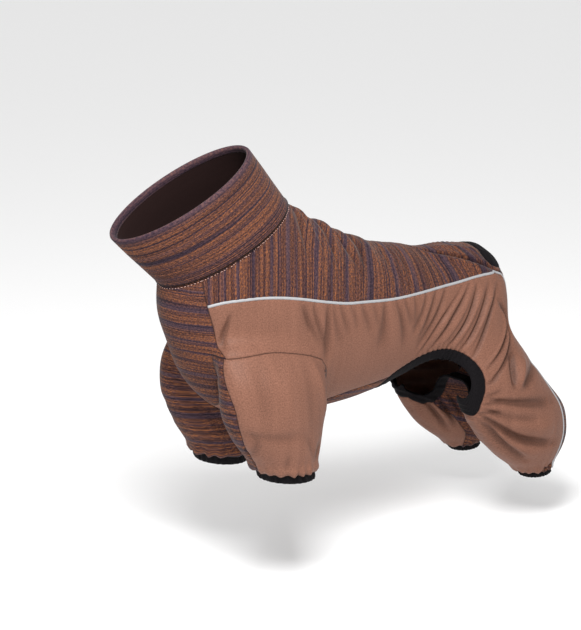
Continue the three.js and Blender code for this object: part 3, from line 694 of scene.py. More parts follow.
# Folds on the outer side of the flanks and hind legs, in the side view. Columns: x and z of
# the start, middle and end as shares of the back length and body depth, then breadth at
# start and end and height in millimetres (a dent below 0), and the lean of its profile.
SIDE_FOLDS = [
    # pulls from the belly opening up to the rump
    (0.597, -0.430, 0.500, -0.560, 0.400, -0.720, 2.6, 1.9, -1.5, 0.8),
    (0.565, -0.430, 0.440, -0.570, 0.349, -0.730, 2.6, 1.9, -1.3, 0.8),
    (0.634, -0.440, 0.560, -0.600, 0.480, -0.725, 2.6, 1.8, -1.8, 0.8),
    (0.687, -0.450, 0.610, -0.620, 0.539, -0.750, 2.8, 1.8, -1.8, 0.8),
    (0.730, -0.465, 0.655, -0.630, 0.575, -0.790, 3.0, 1.8, -1.9, 0.8),
    (0.580, -0.440, 0.500, -0.520, 0.430, -0.640, 3.5, 3.0, 1.2, 0.0),
    (0.615, -0.440, 0.540, -0.560, 0.450, -0.700, 3.0, 2.5, 1.2, 0.0),
    (0.660, -0.460, 0.590, -0.580, 0.510, -0.730, 3.2, 2.4, 1.4, 0.0),
    (0.708, -0.480, 0.640, -0.600, 0.560, -0.760, 3.2, 2.2, 1.4, 0.0),
    (0.723, -0.543, 0.752, -0.680, 0.615, -0.850, 3.0, 1.8, -2.3, 0.9),
    (0.743, -0.575, 0.765, -0.720, 0.625, -0.910, 3.0, 1.8, -2.2, 0.9),
    (0.738, -0.560, 0.735, -0.700, 0.600, -0.860, 2.6, 2.0, 1.2, 0.0),
    # soft creases low on the sleeve
    (-0.235, -0.940, -0.215, -0.990, -0.190, -1.080, 3.6, 3.0, -0.8, 0.3),
    (-0.300, -1.030, -0.300, -1.070, -0.296, -1.115, 2.4, 2.4, -0.6, 0.0),
    # pocket behind the knee and the long folds across the shin
    (0.739, -0.790, 0.716, -0.870, 0.704, -0.965, 5.0, 3.0, -3.8, 0.4),
    (0.859, -0.900, 0.800, -0.940, 0.748, -0.985, 6.0, 4.0, -2.4, 0.0),
    (0.790, -0.840, 0.765, -0.890, 0.735, -0.960, 6.0, 3.5, 2.2, 0.0),
    (0.600, -1.015, 0.700, -1.055, 0.871, -1.104, 2.2, 7.0, -2.3, 0.8),
    (0.600, -1.075, 0.690, -1.140, 0.800, -1.190, 2.0, 7.0, -2.3, 0.6),
    (0.590, -1.114, 0.720, -1.260, 0.866, -1.326, 2.4, 6.5, -3.5, 0.8),
    (0.596, -1.149, 0.670, -1.270, 0.772, -1.397, 2.4, 5.5, -2.7, 0.8),
    (0.640, -1.100, 0.740, -1.170, 0.880, -1.240, 2.5, 9.0, 2.2, 0.0),
    (0.640, -1.180, 0.710, -1.290, 0.820, -1.380, 2.5, 6.0, 1.9, 0.0),
    # short puckers at the lower end of the opening
    (0.592, -1.000, 0.620, -0.990, 0.655, -0.975, 1.6, 3.0, -1.1, 0.0),
    (0.590, -1.045, 0.620, -1.040, 0.660, -1.035, 1.6, 3.0, -1.2, 0.0),
    (0.582, -1.090, 0.615, -1.095, 0.650, -1.095, 1.6, 3.0, -1.3, 0.0),
    (0.594, -0.940, 0.625, -0.920, 0.650, -0.890, 1.6, 3.0, -1.0, 0.0),
    # gathers below the piping
    (-0.158, -0.330, -0.149, -0.411, -0.137, -0.484, 4.5, 6.0, -0.8, 0.0),
    (-0.123, -0.335, -0.111, -0.429, -0.080, -0.553, 2.4, 3.2, -1.5, 0.3),
    (-0.066, -0.350, -0.070, -0.479, -0.074, -0.630, 2.8, 4.6, -1.8, 0.4),
    (-0.168, -0.330, -0.140, -0.440, -0.095, -0.560, 2.4, 3.0, -1.1, 0.3),
    (-0.046, -0.356, -0.034, -0.463, -0.014, -0.572, 2.4, 5.0, -1.0, 0.4),
    (-0.014, -0.369, 0.005, -0.458, 0.021, -0.529, 2.4, 4.5, -1.0, 0.4),
    (0.033, -0.380, 0.049, -0.450, 0.055, -0.512, 2.4, 4.5, -0.8, 0.4),
    (0.083, -0.389, 0.097, -0.463, 0.117, -0.544, 2.4, 5.5, -1.0, 0.4),
    (0.130, -0.395, 0.140, -0.450, 0.150, -0.520, 2.4, 5.0, -0.7, 0.4),
    (0.189, -0.404, 0.177, -0.520, 0.161, -0.640, 3.0, 8.0, -1.4, 0.0),
    (0.238, -0.407, 0.256, -0.506, 0.274, -0.653, 2.6, 6.0, -1.4, 0.4),
    (0.276, -0.412, 0.292, -0.475, 0.303, -0.560, 2.4, 5.0, -1.0, 0.4),
    (0.330, -0.412, 0.330, -0.475, 0.320, -0.560, 2.4, 5.0, -1.0, 0.4),
    (0.390, -0.412, 0.360, -0.500, 0.310, -0.600, 2.4, 4.0, -1.2, 0.4),
    (0.440, -0.410, 0.400, -0.500, 0.340, -0.640, 2.4, 4.0, -1.4, 0.6),
    (0.490, -0.412, 0.430, -0.520, 0.340, -0.680, 2.4, 3.5, -1.5, 0.6),
    (-0.418, -0.335, -0.432, -0.412, -0.455, -0.500, 2.2, 3.2, -1.7, 0.2),
    # folds of the sleeve
    (-0.262, -0.560, -0.288, -0.672, -0.296, -0.860, 5.0, 9.0, 0.8, 0.0),
    (-0.150, -0.600, -0.140, -0.722, -0.110, -0.880, 5.0, 5.0, 1.0, 0.0),
    (-0.200, -0.600, -0.205, -0.750, -0.190, -0.950, 7.0, 10.0, -0.6, 0.0),
    (-0.373, -0.568, -0.386, -0.675, -0.385, -0.830, 6.0, 9.0, -0.6, 0.0),
    (-0.430, -0.880, -0.400, -0.960, -0.400, -1.060, 3.4, 3.0, -0.9, 0.3),
    (-0.430, -0.900, -0.350, -0.930, -0.250, -0.940, 4.0, 7.0, -0.8, 0.4),
    (-0.150, -1.000, -0.165, -1.040, -0.175, -1.090, 4.5, 3.0, -1.3, 0.0),
]
# Folds on the inner side of the hind legs, in the side view, with the same columns
INNER_FOLDS = [
    (0.640, -1.170, 0.690, -1.260, 0.750, -1.370, 2.0, 3.2, -4.0, 0.7),
    (0.615, -1.200, 0.650, -1.300, 0.710, -1.390, 2.0, 3.0, -2.6, 0.7),
    (0.675, -1.150, 0.720, -1.230, 0.770, -1.340, 2.0, 3.2, -3.8, 0.7),
    (0.660, -1.160, 0.705, -1.245, 0.760, -1.350, 2.5, 3.5, 1.8, 0.0),
    (0.715, -1.130, 0.755, -1.210, 0.790, -1.300, 2.4, 3.0, -2.8, 0.5),
    (0.600, -1.150, 0.635, -1.240, 0.680, -1.330, 2.4, 3.0, 1.4, 0.0),
]
# Folds over the back, in the top view: x as a share of the back length and distance from the
# spine as a share of the body width. The other columns are the same.
BACK_FOLDS = [
    (0.037, -0.050, 0.030, 0.130, 0.012, 0.370, 2.6, 3.4, -2.4, 0.5),
    (0.087, -0.050, 0.083, 0.150, 0.105, 0.360, 2.4, 3.4, -3.0, 0.5),
    (0.183, -0.050, 0.165, 0.160, 0.142, 0.370, 3.0, 4.5, -2.4, 0.5),
    (0.062, -0.050, 0.060, 0.100, 0.062, 0.220, 3.5, 3.5, 2.0, 0.0),
    (0.135, -0.050, 0.128, 0.110, 0.128, 0.260, 4.5, 4.0, 2.0, 0.0),
    (-0.068, 0.000, -0.090, 0.200, -0.106, 0.370, 3.0, 3.4, -1.9, 0.5),
    (-0.030, -0.050, -0.045, 0.180, -0.060, 0.360, 4.0, 4.5, 1.6, 0.0),
    (0.225, -0.050, 0.215, 0.150, 0.200, 0.360, 4.0, 5.0, 1.3, 0.0),
    (0.290, 0.050, 0.270, 0.220, 0.260, 0.360, 3.5, 4.5, -1.3, 0.3),
    (0.369, 0.030, 0.345, 0.240, 0.336, 0.340, 3.0, 3.5, -0.8, 0.3),
    (0.478, 0.150, 0.485, 0.250, 0.495, 0.320, 3.0, 3.0, -0.9, 0.3),
    # long crease from the rump to the tail hole
    (0.440, 0.040, 0.570, 0.150, 0.765, 0.290, 2.4, 2.0, -4.4, 0.8),
    (0.440, 0.100, 0.550, 0.200, 0.740, 0.310, 3.5, 2.6, 2.2, 0.0),
    (0.500, 0.020, 0.620, 0.070, 0.760, 0.170, 4.0, 3.5, 1.4, 0.0),
]
# What the heights of the outer folds are multiplied by, and how many breadths a fold reaches
FOLD_STRENGTH = 1.8
FOLD_REACH = 3
MILLIMETRE = 0.001
# How far a normal turns outwards, inwards or up while the folds of that side fade in
OUTER_TURN = (-0.1, 0.4)
INNER_TURN = (0.0, 0.4)
UPPER_TURN = (0.0, 0.3)
# Gathers beside the elastic of the opening and below the piping: pitch, height and the
# distance over which they fade
OPENING_GATHERS = (0.0062, 0.00055, 0.006)
PIPING_GATHERS = (0.0075, 0.00035, 0.007)
# Where the opening's elastic pulls hardest, along its edge, and over what length
OPENING_PULL = (0.26, 0.03)
# Gathers above a cuff: their count, their height and how far the cloth puffs out over it
SLEEVE_GATHERS = (16, 0.0024, 0.0026)
LEG_GATHERS = (13, 0.0018, 0.0024)
CUFF_GATHER_FADE = 0.007
CUFF_GATHER_LIMIT = 0.03
PUFF_PLACE = 0.004
PUFF_BREADTH = 0.005


def fold_profile(flat, row, span):
    """Height of one fold over points of a flat view."""
    path = smooth_rows(np.array(row[:6]).reshape(3, 2) * span, FOLD_STEP)
    start_breadth, end_breadth, height = (size * MILLIMETRE for size in row[6:9])
    lean = row[9]
    reach = FOLD_REACH * max(start_breadth, end_breadth)
    near = ((flat > path.min(axis=0) - reach) & (flat < path.max(axis=0) + reach)).all(axis=1)
    away, along = line_place(flat[near], path)
    along = along / np.linalg.norm(np.diff(path, axis=0), axis=1).sum()
    off = away / (start_breadth + (end_breadth - start_breadth) * along)
    fade = np.sqrt(np.sin(np.pi * np.clip(along, 0.02, 0.98)))
    made = np.zeros(len(flat))
    made[near] = height * fade * np.exp(-off ** 2) * (1 + lean * off)
    return made


def opening_gathers(side_view, opening):
    """Small puckers that run out from the elastic of the belly opening."""
    pitch, height, fade = OPENING_GATHERS
    place, length = OPENING_PULL
    _, along = line_place(side_view, side_line(OPENING_LINE))
    pull = 0.7 + 0.5 * np.sin(along / 0.021 + 1) + 0.5 * np.exp(-((along - place) / length) ** 2)
    phase = 2 * np.pi * along / pitch + 1.5 * np.sin(along / 0.012)
    return height * pull * np.cos(phase) * np.exp(-np.maximum(opening, 0) / fade)


def piping_gathers(side_view, yoke):
    """Fine gathers in the knit just below the side seam."""
    pitch, height, fade = PIPING_GATHERS
    along = side_view[:, 0]
    pull = 0.7 + 0.6 * np.sin(along / 0.016 + 2)
    phase = 2 * np.pi * along / pitch + 1.8 * np.sin(along / 0.013)
    return height * pull * np.cos(phase) * np.exp(-np.maximum(-yoke, 0) / fade)


def cuff_gathers(rest, rows, beyond, gathers):
    """Uneven puckers above a cuff and the cloth puffed out over it."""
    count, height, puff = gathers
    angle = angle_round(rest, rows)
    above = np.maximum(-beyond, 0)
    phase = count * angle + 1.6 * np.sin(2 * angle + 1) + 1.1 * np.sin(5 * angle)
    pull = 0.75 + 0.35 * np.sin(3 * angle + 2)
    ripple = height * pull * np.cos(phase) * np.exp(-above / CUFF_GATHER_FADE)
    made = ripple + puff * np.exp(-((above - PUFF_PLACE) / PUFF_BREADTH) ** 2)
    return made * (beyond > -CUFF_GATHER_LIMIT)


def angle_round(rest, rows):
    """Angle round the end of a limb, the same way on both sides."""
    middle = rows[-1]
    across = rest[:, 0] - (middle[0] + middle[2]) / 2
    return np.arctan2(across, np.abs(rest[:, 1]) - abs(middle[4]))


def fold_height(rest, normals, fields):
    """How far the folds, gathers and puckers lift the cloth, over all of its points."""
    field = {name: fields[:, i] for i, name in enumerate(FIELDS)}
    x, y, _ = rest.T
    side_view = rest[:, [0, 2]]
    top_view = np.column_stack([x, np.abs(y)])
    outwards = normals[:, 1] * np.sign(y)
    outer = soft_step(outwards, *OUTER_TURN)
    inner = soft_step(-outwards, *INNER_TURN) * (x > BELLY_END)
    upper = soft_step(normals[:, 2], *UPPER_TURN)
    outer_folds = sum(fold_profile(side_view, row, SIDE_SPAN) for row in SIDE_FOLDS)
    inner_folds = sum(fold_profile(side_view, row, SIDE_SPAN) for row in INNER_FOLDS)
    back_folds = sum(fold_profile(top_view, row, TOP_SPAN) for row in BACK_FOLDS)
    height = FOLD_STRENGTH * outer * outer_folds + inner * inner_folds + upper * back_folds
    height += np.where(x > SLEEVES_END, opening_gathers(side_view, field["opening"]), 0)
    height += outer * piping_gathers(side_view, field["yoke"])
    sleeve = cuff_gathers(rest, sleeve_sections(-1), field["sleeve_end"], SLEEVE_GATHERS)
    leg = cuff_gathers(rest, leg_sections(), field["leg_end"], LEG_GATHERS)
    return height + np.where(x < SLEEVES_END, sleeve, leg)


# Panels

# How far the stripes lean: on the back by (place along the body, lean) pairs
BACK_SLANTS = [(-0.03, 0.75), (0.03, 0.62), (0.12, 0.12), (0.16, -0.12), (0.21, -0.42)]
CHEST_SLANT = 0.12
SEAT_SLANT = 0.3
# How deep the cloth is drawn in at a seam, and over what distance
SEAM_DIP = 0.0007
SEAM_REACH = 0.002


def panel_of(table, faces):
    """Name of the panel or trim that each face belongs to, empty where the suit is open."""
    value = {name: table[faces, COLUMN[name]].mean(axis=1) for name in FIELDS}
    middle = table[faces][:, :, REST].mean(axis=1)
    side = np.where(middle[:, 1] < 0, "left", "right")
    name = np.char.add("side_panel_", side)
    seat = np.minimum(value["seat_between"], value["seat_behind"]) > 0
    name = np.where(seat, "seat_panel", name)
    name = np.where(value["yoke"] > 0, "back_yoke", name)
    name = np.where(value["chest"] > 0, "chest_panel", name)
    sleeve = value["sleeve"] < 0
    inner = value["sleeve_seam"] < 0
    name = np.where(sleeve, np.char.add("sleeve_outer_", side), name)
    name = np.where(sleeve & inner, np.char.add("sleeve_inner_", side), name)
    trimmed = (value["opening"] < 0) & (middle[:, 0] > OPENING_START)
    name = np.where(trimmed, "belly_opening_binding", name)
    name = np.where(value["tail"] < 0, "tail_opening_binding", name)
    gone = (value["neck"] < 0) | (value["sleeve_end"] > 0) | (value["leg_end"] > 0)
    gone |= trimmed & (value["opening_inside"] < 0)
    gone |= value["tail_inside"] < 0
    return np.where(gone, "", name)


def seam_distance(table, faces, names):
    """Distance of each corner from the nearest seam or edge of its panel, in metres."""
    kinds, code = np.unique(names, return_inverse=True)
    least = np.full(len(table), len(kinds))
    most = np.full(len(table), -1)
    for k in range(3):
        np.minimum.at(least, faces[:, k], code)
        np.maximum.at(most, faces[:, k], code)
    seam = np.flatnonzero(most > least)
    tree = KDTree(len(seam))
    for i, corner in enumerate(seam):
        tree.insert(table[corner, REST], i)
    tree.balance()
    return np.array([tree.find(point)[2] for point in table[:, REST]])


def cloth_place(name, rest):
    """Place on the flat cloth: across its stripes, then along them."""
    x, y, z = rest.T
    if name == "back_yoke":
        slant = np.interp(x, *np.array(BACK_SLANTS).T)
        return np.column_stack([x + slant * np.abs(y), np.abs(y) - z])
    if name == "chest_panel":
        return np.column_stack([z + CHEST_SLANT * x, np.abs(y) + x])
    if name.startswith("sleeve_inner"):
        return np.column_stack([z, x + y])
    if name == "seat_panel":
        return np.column_stack([z + SEAT_SLANT * x, y + x])
    return np.column_stack([x, z])


def panel_object(name, points, faces, flat, seam, dent):
    """Object of one panel, with its place on the flat cloth, its distance from a seam and
    its depth in a fold at each point, which set the shade its finish paints."""
    used, index = np.unique(faces, return_inverse=True)
    faces = index.reshape(-1, 3)
    made = new_object(name + "_cloth", points[used], faces)
    give_cloth_place(made, flat[used])
    store(made.data, "seam", seam[used])
    store(made.data, "dent", dent[used])
    made.data.shade_smooth()
    return made


# Trims

# How far out rays towards the cloth start
FAR = 0.4
# How far ahead of the chest seam the piping starts
PIPING_START = 0.004
PIPING_HEIGHT = 0.0011
# Rounds that soften the piping's route
PIPING_ROUNDS = 3
CUFF_TUCK = 0.0014
CUFF_TURNS = 24
# Below 1 the band's section is squarer than an ellipse
CUFF_ROUNDNESS = 0.6
# Ripples round a cuff: height, count and phase
CUFF_RIPPLES = [(0.0005, 23, 0), (0.0004, 31, 1)]
# Share of the ripples on the cuff's inner face
CUFF_INNER_RIPPLE = 0.4

RIM_ROLL = 0.0012
# Loops of the collar's rolled rim: share of the way inwards and of the roll's height
RIM_LOOPS = [(0.15, 0.7), (0.5, 1.0), (0.85, 0.7)]
# How many loops the outer cloth runs down inside the collar
RIM_TURNED = 5
# Loops of the collar's hem, from its inner edge: growth from the stand and drop
HEM_LOOPS = [(-0.0014, 0.0012), (-0.0002, 0.0024), (0.0008, 0.0016)]
# How far up from the sewn edge the collar is darkest, a shadow line painted along its hem
HEM_PAINTED_SHADOW = 0.0033
LINING_INSET = 0.0014
# How many loops the lining stops below the rim
LINING_STOP = 2

STITCH_DROP = 0.0038
STITCH_OUT = 0.0040
STITCH_PITCH = 0.0036
STITCH_THICKNESS = 0.00038
# Share of a stitch's thickness by which it lies proud of the cloth
STITCH_LIFT = 0.3
# Places along one pitch, and how many of them a stitch is long
STITCH_PLACES = 8
STITCH_LENGTH = 4
# Rings of a stitch: place along it and share of its thickness
STITCH_RINGS = [(0.0, 0.35), (0.2, 0.9), (0.5, 1.0), (0.8, 0.9), (1.0, 0.35)]
STITCH_SIDES = 6


def give_cloth_place(made, flat):
    """UV map "cloth" from a flat place for each point."""
    layer = made.data.uv_layers.new(name="cloth")
    corners = np.empty(len(made.data.loops), dtype=np.int32)
    made.data.loops.foreach_get("vertex_index", corners)
    layer.data.foreach_set("uv", np.asarray(flat)[corners].astype(np.float32).ravel())


def swept_strip(name, route, normals, half_width, height):
    """Soft-edged cord along a route on the cloth, a little proud of it."""
    run = np.gradient(route, axis=0)
    run /= np.linalg.norm(run, axis=1, keepdims=True)
    across = np.cross(run, normals)
    across /= np.linalg.norm(across, axis=1, keepdims=True)
    angle = 2 * np.pi * (np.arange(STRIP_SIDES) + 0.5) / STRIP_SIDES
    points = (route[:, None] + across[:, None] * (half_width * np.cos(angle))[None, :, None]
              + normals[:, None] * (height * np.sin(angle))[None, :, None])
    along = run_length(route)
    flat = np.stack(np.broadcast_arrays(along[:, None], half_width * np.cos(angle)), axis=2)
    flat = np.vstack([flat.reshape(-1, 2), [[0, 0], [along[-1], 0]]])
    points, faces = closed_loft(points)
    made = new_object(name, points, outward(points, faces))
    give_cloth_place(made, flat)
    made.data.shade_smooth()
    return made


def run_length(points):
    """How far along a run of points each of them lies."""
    return np.concatenate([[0], np.cumsum(np.linalg.norm(np.diff(points, axis=0), axis=1))])


def even_route(points, step):
    """Points of a route, the same distance apart, with what else its rows hold."""
    length = run_length(points[:, :3])
    places = np.linspace(0, length[-1], max(3, round(length[-1] / step)))
    return np.column_stack([np.interp(places, length, column) for column in points.T])


def cast_route(tree, starts, direction):
    """Where rays from the starts meet the cloth, with its normals there."""
    found = [tree.ray_cast(Vector(start), Vector(direction)) for start in starts]
    found = [hit for hit in found if hit[0] is not None]
    return np.array([hit[0] for hit in found]), np.array([hit[1] for hit in found])


def softened(values, rounds):
    """A run of values, each drawn to the mean of its neighbours, its ends held."""
    for _ in range(rounds):
        values[1:-1] = (values[:-2] + 2 * values[1:-1] + values[2:]) / 4
    return values


def piping_route(tree, side):
    """Along the side seam from the chest, then down the back of the leg."""
    line = even_route(side_line(PIPING_SIDE_LINE), ROUTE_STEP)
    chest = line_field(line, carried_on(side_line(CHEST_SEAM_LINE)))
    line = line[chest > -PIPING_START]
    side_starts = np.column_stack([line[:, 0], np.full(len(line), side * FAR), line[:, 1]])
    along, along_normals = cast_route(tree, side_starts, (0, -side, 0))
    rear = even_route(rear_line(PIPING_REAR_LINE), ROUTE_STEP)
    rear_starts = np.column_stack([np.full(len(rear), FAR), side * rear[:, 0], rear[:, 1]])
    down, down_normals = cast_route(tree, rear_starts, (-1, 0, 0))
    middle = line_field(down[:, [0, 2]], carried_on(side_line(LEG_MIDDLE_LINE)))
    kept = (middle > 0) & (limb_end(down, leg_sections()) < 0)
    down, down_normals = down[kept], down_normals[kept]
    along_kept = np.abs(along[:, 1]) > abs(down[0, 1])
    route = np.hstack([
        np.vstack([along[along_kept], down]),
        np.vstack([along_normals[along_kept], down_normals]),
    ])
    route = softened(even_route(route, ROUTE_STEP), PIPING_ROUNDS)
    return route[:, :3], route[:, 3:] / np.linalg.norm(route[:, 3:], axis=1, keepdims=True)


def cuff(name, rows, side):
    """Elastic band below the last section of a sleeve or leg, with a fold of gathers."""
    rings = ring_grid(smooth_rows(rows, LOFT_STEP), side, CUFF_SIDES)
    run = rings[-1].mean(axis=0) - rings[-2].mean(axis=0)
    run /= np.linalg.norm(run)
    middle = rings[-1].mean(axis=0)
    spoke = rings[-1] - middle
    spoke /= np.linalg.norm(spoke, axis=1, keepdims=True)
    angle = 2 * np.pi * np.arange(CUFF_SIDES) / CUFF_SIDES
    ripple = sum(height * np.sin(count * angle + phase) for height, count, phase in CUFF_RIPPLES)
    loops = []
    for turn in np.linspace(0, 2 * np.pi, CUFF_TURNS + 1)[:-1]:
        out, down = math.cos(turn), math.sin(turn)
        rippled = ripple * (CUFF_INNER_RIPPLE + (1 - CUFF_INNER_RIPPLE) * out)
        shift = CUFF_WALL / 2 * (squared(out) - 1) - CUFF_TUCK + rippled
        drop = CUFF_HEIGHT / 2 * (squared(down) + 1)
        loops.append(rings[-1] + spoke * shift[:, None] + run * drop)
    return wrapped_band(name, np.array(loops))


def squared(share):
    """The share, drawn away from 0 so that a round section gets squarer."""
    return math.copysign(abs(share) ** CUFF_ROUNDNESS, share)


def wrapped_band(name, loops):
    """Ring-shaped band through loops that close on themselves both ways."""
    numbers = numbered_rings(*loops.shape[:2])
    faces = bridged([*numbers, numbers[0]])
    points = loops.reshape(-1, 3)
    made = new_object(name, points, outward(points, faces))
    around = np.linalg.norm(np.diff(loops, axis=1), axis=2).mean(axis=0)
    down = np.linalg.norm(np.diff(loops, axis=0), axis=2).mean(axis=1)
    flat = np.stack(np.broadcast_arrays(
        np.concatenate([[0], np.cumsum(around)])[None, :],
        np.concatenate([[0], np.cumsum(down)])[:, None]), axis=2)
    give_cloth_place(made, flat.reshape(-1, 2))
    made.data.shade_smooth()
    return made


def collar_rings(grow):
    """Rings of the collar from its sewn edge to its rim, grown outwards."""
    return ring_grid(smooth_rows(collar_sections(), COLLAR_STEP), -1, COLLAR_SIDES, grow)


def tube_object(name, loops, flat):
    """Open tube through loops, with the place of each point on its flat cloth and its
    distance past the shadow line painted along the sewn edge."""
    count, sides = loops.shape[:2]
    made = new_object(name, loops.reshape(-1, 3), bridged(numbered_rings(count, sides)))
    layer = made.data.uv_layers.new(name="cloth")
    corners = []
    for i in range(count - 1):
        for j in range(sides):
            corners += [flat[i, j], flat[i, j + 1], flat[i + 1, j + 1], flat[i + 1, j]]
    layer.data.foreach_set("uv", np.array(corners, dtype=np.float32).ravel())
    store(made.data, "seam", np.maximum(flat[:, :sides, 0].ravel() - HEM_PAINTED_SHADOW, 0))
    made.data.shade_smooth()
    return made


def flat_of_loops(loops):
    """Distance from the first loop and round the loop, one place more than the loop has."""
    up = np.concatenate([np.zeros((1, loops.shape[1])), np.cumsum(
        np.linalg.norm(np.diff(loops, axis=0), axis=2), axis=0)])
    up = np.repeat(up.mean(axis=1)[:, None], loops.shape[1] + 1, axis=1)
    closed = np.concatenate([loops, loops[:, :1]], axis=1)
    around = np.linalg.norm(np.diff(closed, axis=1), axis=2).mean(axis=0)
    around = np.concatenate([[0], np.cumsum(around)])
    return np.stack([up, np.repeat(around[None], len(loops), axis=0)], axis=2)


def collar_cloth():
    """Doubled striped cloth, rolled over at the rim."""
    outer = collar_rings(COLLAR_STAND)
    inner = collar_rings(COLLAR_STAND - 2 * RIM_ROLL)[::-1]
    rim = [carried_ring((outer + (inner[::-1] - outer) * share)[-2:], RIM_ROLL * bulge)
           for share, bulge in RIM_LOOPS]
    turned = inner[1:RIM_TURNED + 1]
    hem = [carried_ring(collar_rings(COLLAR_STAND + grow)[1::-1], drop)
           for grow, drop in HEM_LOOPS]
    loops = np.concatenate([*hem, outer, *rim, turned])
    return tube_object("collar_cloth", loops, flat_of_loops(loops))


def collar_lining_cloth():
    """Plain cloth inside the collar, ending a little below the rim."""
    loops = collar_rings(-LINING_INSET)[:-LINING_STOP]
    return tube_object("collar_lining_cloth", loops, flat_of_loops(loops))


def stitch_points(start, end, normal):
    """Rings of points round one stitch that lies on the cloth from start to end."""
    run = (end - start) / np.linalg.norm(end - start)
    out = normal - run * np.dot(normal, run)
    out /= np.linalg.norm(out)
    beside = np.cross(run, out)
    points = []
    for share, size in STITCH_RINGS:
        for corner in 2 * math.pi * np.arange(STITCH_SIDES) / STITCH_SIDES:
            off = out * math.cos(corner) + beside * math.sin(corner)
            points.append(start + (end - start) * share + off * size * STITCH_THICKNESS)
    return points


def stitch_faces(base):
    """Faces of one stitch whose points start at a number."""
    rings = numbered_rings(len(STITCH_RINGS), STITCH_SIDES, base)
    return [*bridged(rings), tuple(rings[0][::-1]), tuple(rings[-1])]


def collar_stitches(tree):
    """Small light stitches on the cloth just below the collar."""
    ring = carried_ring(collar_rings(COLLAR_STAND + STITCH_OUT)[1::-1], STITCH_DROP)[0]
    ring = even_route(np.vstack([ring, ring[:1]]), STITCH_PITCH / STITCH_PLACES)
    points, faces = [], []
    for first in range(0, len(ring) - STITCH_LENGTH, STITCH_PLACES):
        ends = []
        for corner in (ring[first], ring[first + STITCH_LENGTH]):
            place, normal, _, _ = tree.find_nearest(Vector(corner))
            ends.append(np.array(place + normal * STITCH_THICKNESS * STITCH_LIFT))
        faces += stitch_faces(len(points))
        points += stitch_points(*ends, np.array(normal))
    points = np.array(points)
    made = new_object("collar_stitches", points, outward(points, faces))
    give_cloth_place(made, points[:, [0, 2]])
    made.data.shade_smooth()
    return made


# Camera and studio

CAMERA_AZIMUTH = -37.6
CAMERA_ELEVATION = 15.4
CAMERA_DISTANCE = 2.4
CAMERA_TARGET = (-0.0164, 0, -0.096)
CAMERA_REACH = 50
SENSOR_WIDTH = 36
FRAME_HEIGHT_AT_TARGET = 0.63
FLOOR_HEIGHT = -0.362
FLOOR_SIZE = 12
FLOOR_COLOUR = (0.97, 0.97, 0.97, 1)
FLOOR_ROUGHNESS = 0.9
SKY_COLOUR = (1, 1, 1, 1)
SKY_STRENGTH = 0.8
LAMP_PLACE = (-0.50, -0.60, 0.76)
LAMP_AIM = (0, 0, -0.12)
LAMP_SIZE = 0.45
LAMP_POWER = 21


def camera():
    """Camera at the photograph's angle."""
    made = bpy.data.cameras.new("camera")
    made.sensor_width = SENSOR_WIDTH
    made.lens = CAMERA_DISTANCE / FRAME_HEIGHT_AT_TARGET * SENSOR_WIDTH
    made.clip_end = CAMERA_REACH
    rig = bpy.data.objects.new("camera", made)
    azimuth, elevation = math.radians(CAMERA_AZIMUTH), math.radians(CAMERA_ELEVATION)
    back = Vector((
        math.sin(azimuth) * math.cos(elevation),
        -math.cos(azimuth) * math.cos(elevation),
        math.sin(elevation),
    ))
    target = Vector(CAMERA_TARGET)
    put_aimed(rig, target + back * CAMERA_DISTANCE, target)
    bpy.context.scene.camera = rig


def put_aimed(made, place, aim):
    """Put a camera or lamp in its place, looking at its aim."""
    made.location = place
    made.rotation_mode = "QUATERNION"
    made.rotation_quaternion = (aim - place).to_track_quat("-Z", "Y")
    bpy.context.scene.collection.objects.link(made)


def key_lamp():
    """Soft square lamp, the one light besides the sky."""
    lamp = bpy.data.lights.new("key", "AREA")
    lamp.size = LAMP_SIZE
    lamp.energy = LAMP_POWER
    put_aimed(bpy.data.objects.new("key", lamp), Vector(LAMP_PLACE), Vector(LAMP_AIM))


def pale_floor():
    """Wide level floor below the suit, its place in its mesh."""
    bpy.ops.object.select_all(action="DESELECT")
    bpy.ops.mesh.primitive_plane_add(size=FLOOR_SIZE, location=(0, 0, FLOOR_HEIGHT))
    floor = bpy.context.active_object
    floor.name = "floor"
    bpy.ops.object.transform_apply(location=True, rotation=True, scale=True)
    bpy.ops.object.select_all(action="DESELECT")
    pale = bpy.data.materials.new("pale_floor")
    pale.use_nodes = True
    shader = pale.node_tree.nodes["Principled BSDF"]
    shader.inputs["Base Color"].default_value = FLOOR_COLOUR
    shader.inputs["Roughness"].default_value = FLOOR_ROUGHNESS
    floor.data.materials.append(pale)


def studio():
    """Pale surroundings with one soft lamp from the front left."""
    pale_floor()
    key_lamp()
    world = bpy.data.worlds.new("studio")
    world.use_nodes = True
    sky = world.node_tree.nodes["Background"]
    sky.inputs["Color"].default_value = SKY_COLOUR
    sky.inputs["Strength"].default_value = SKY_STRENGTH
    bpy.context.scene.world = world
    bpy.context.scene.view_settings.view_transform = "Standard"


# Finishes

# Darkest colour of the shade painted along a seam and deep in a fold
SHADE_COLOUR = (0.006, 0.003, 0.003, 1)
# Yarn colours from the lightest thread to the darkest, as (place, colour) pairs
RUST_YARN = [
    (0.0, (0.240, 0.084, 0.030)), (0.35, (0.122, 0.046, 0.0235)),
    (0.65, (0.056, 0.0225, 0.0155)), (1.0, (0.020, 0.0090, 0.0090)),
]
VIOLET_YARN = [
    (0.0, (0.078, 0.048, 0.054)), (0.35, (0.040, 0.0275, 0.0410)),
    (0.65, (0.026, 0.0180, 0.0300)), (1.0, (0.013, 0.0090, 0.0150)),
]
# Noises of the yarn: scale across and along the stripes in turns per metre, detail, and the
# range that is stretched to 0 and 1
THREAD_NOISE = ((560.0, 7.0), 0.0, (0.36, 0.66))
MARL_NOISE = ((900.0, 320.0), 1.0, (0.36, 0.64))
FLECK_NOISE = ((1300.0, 900.0), 0.0, (0.34, 0.66))
HUE_NOISE = ((700.0, 420.0), 0.0, (0.40, 0.66))
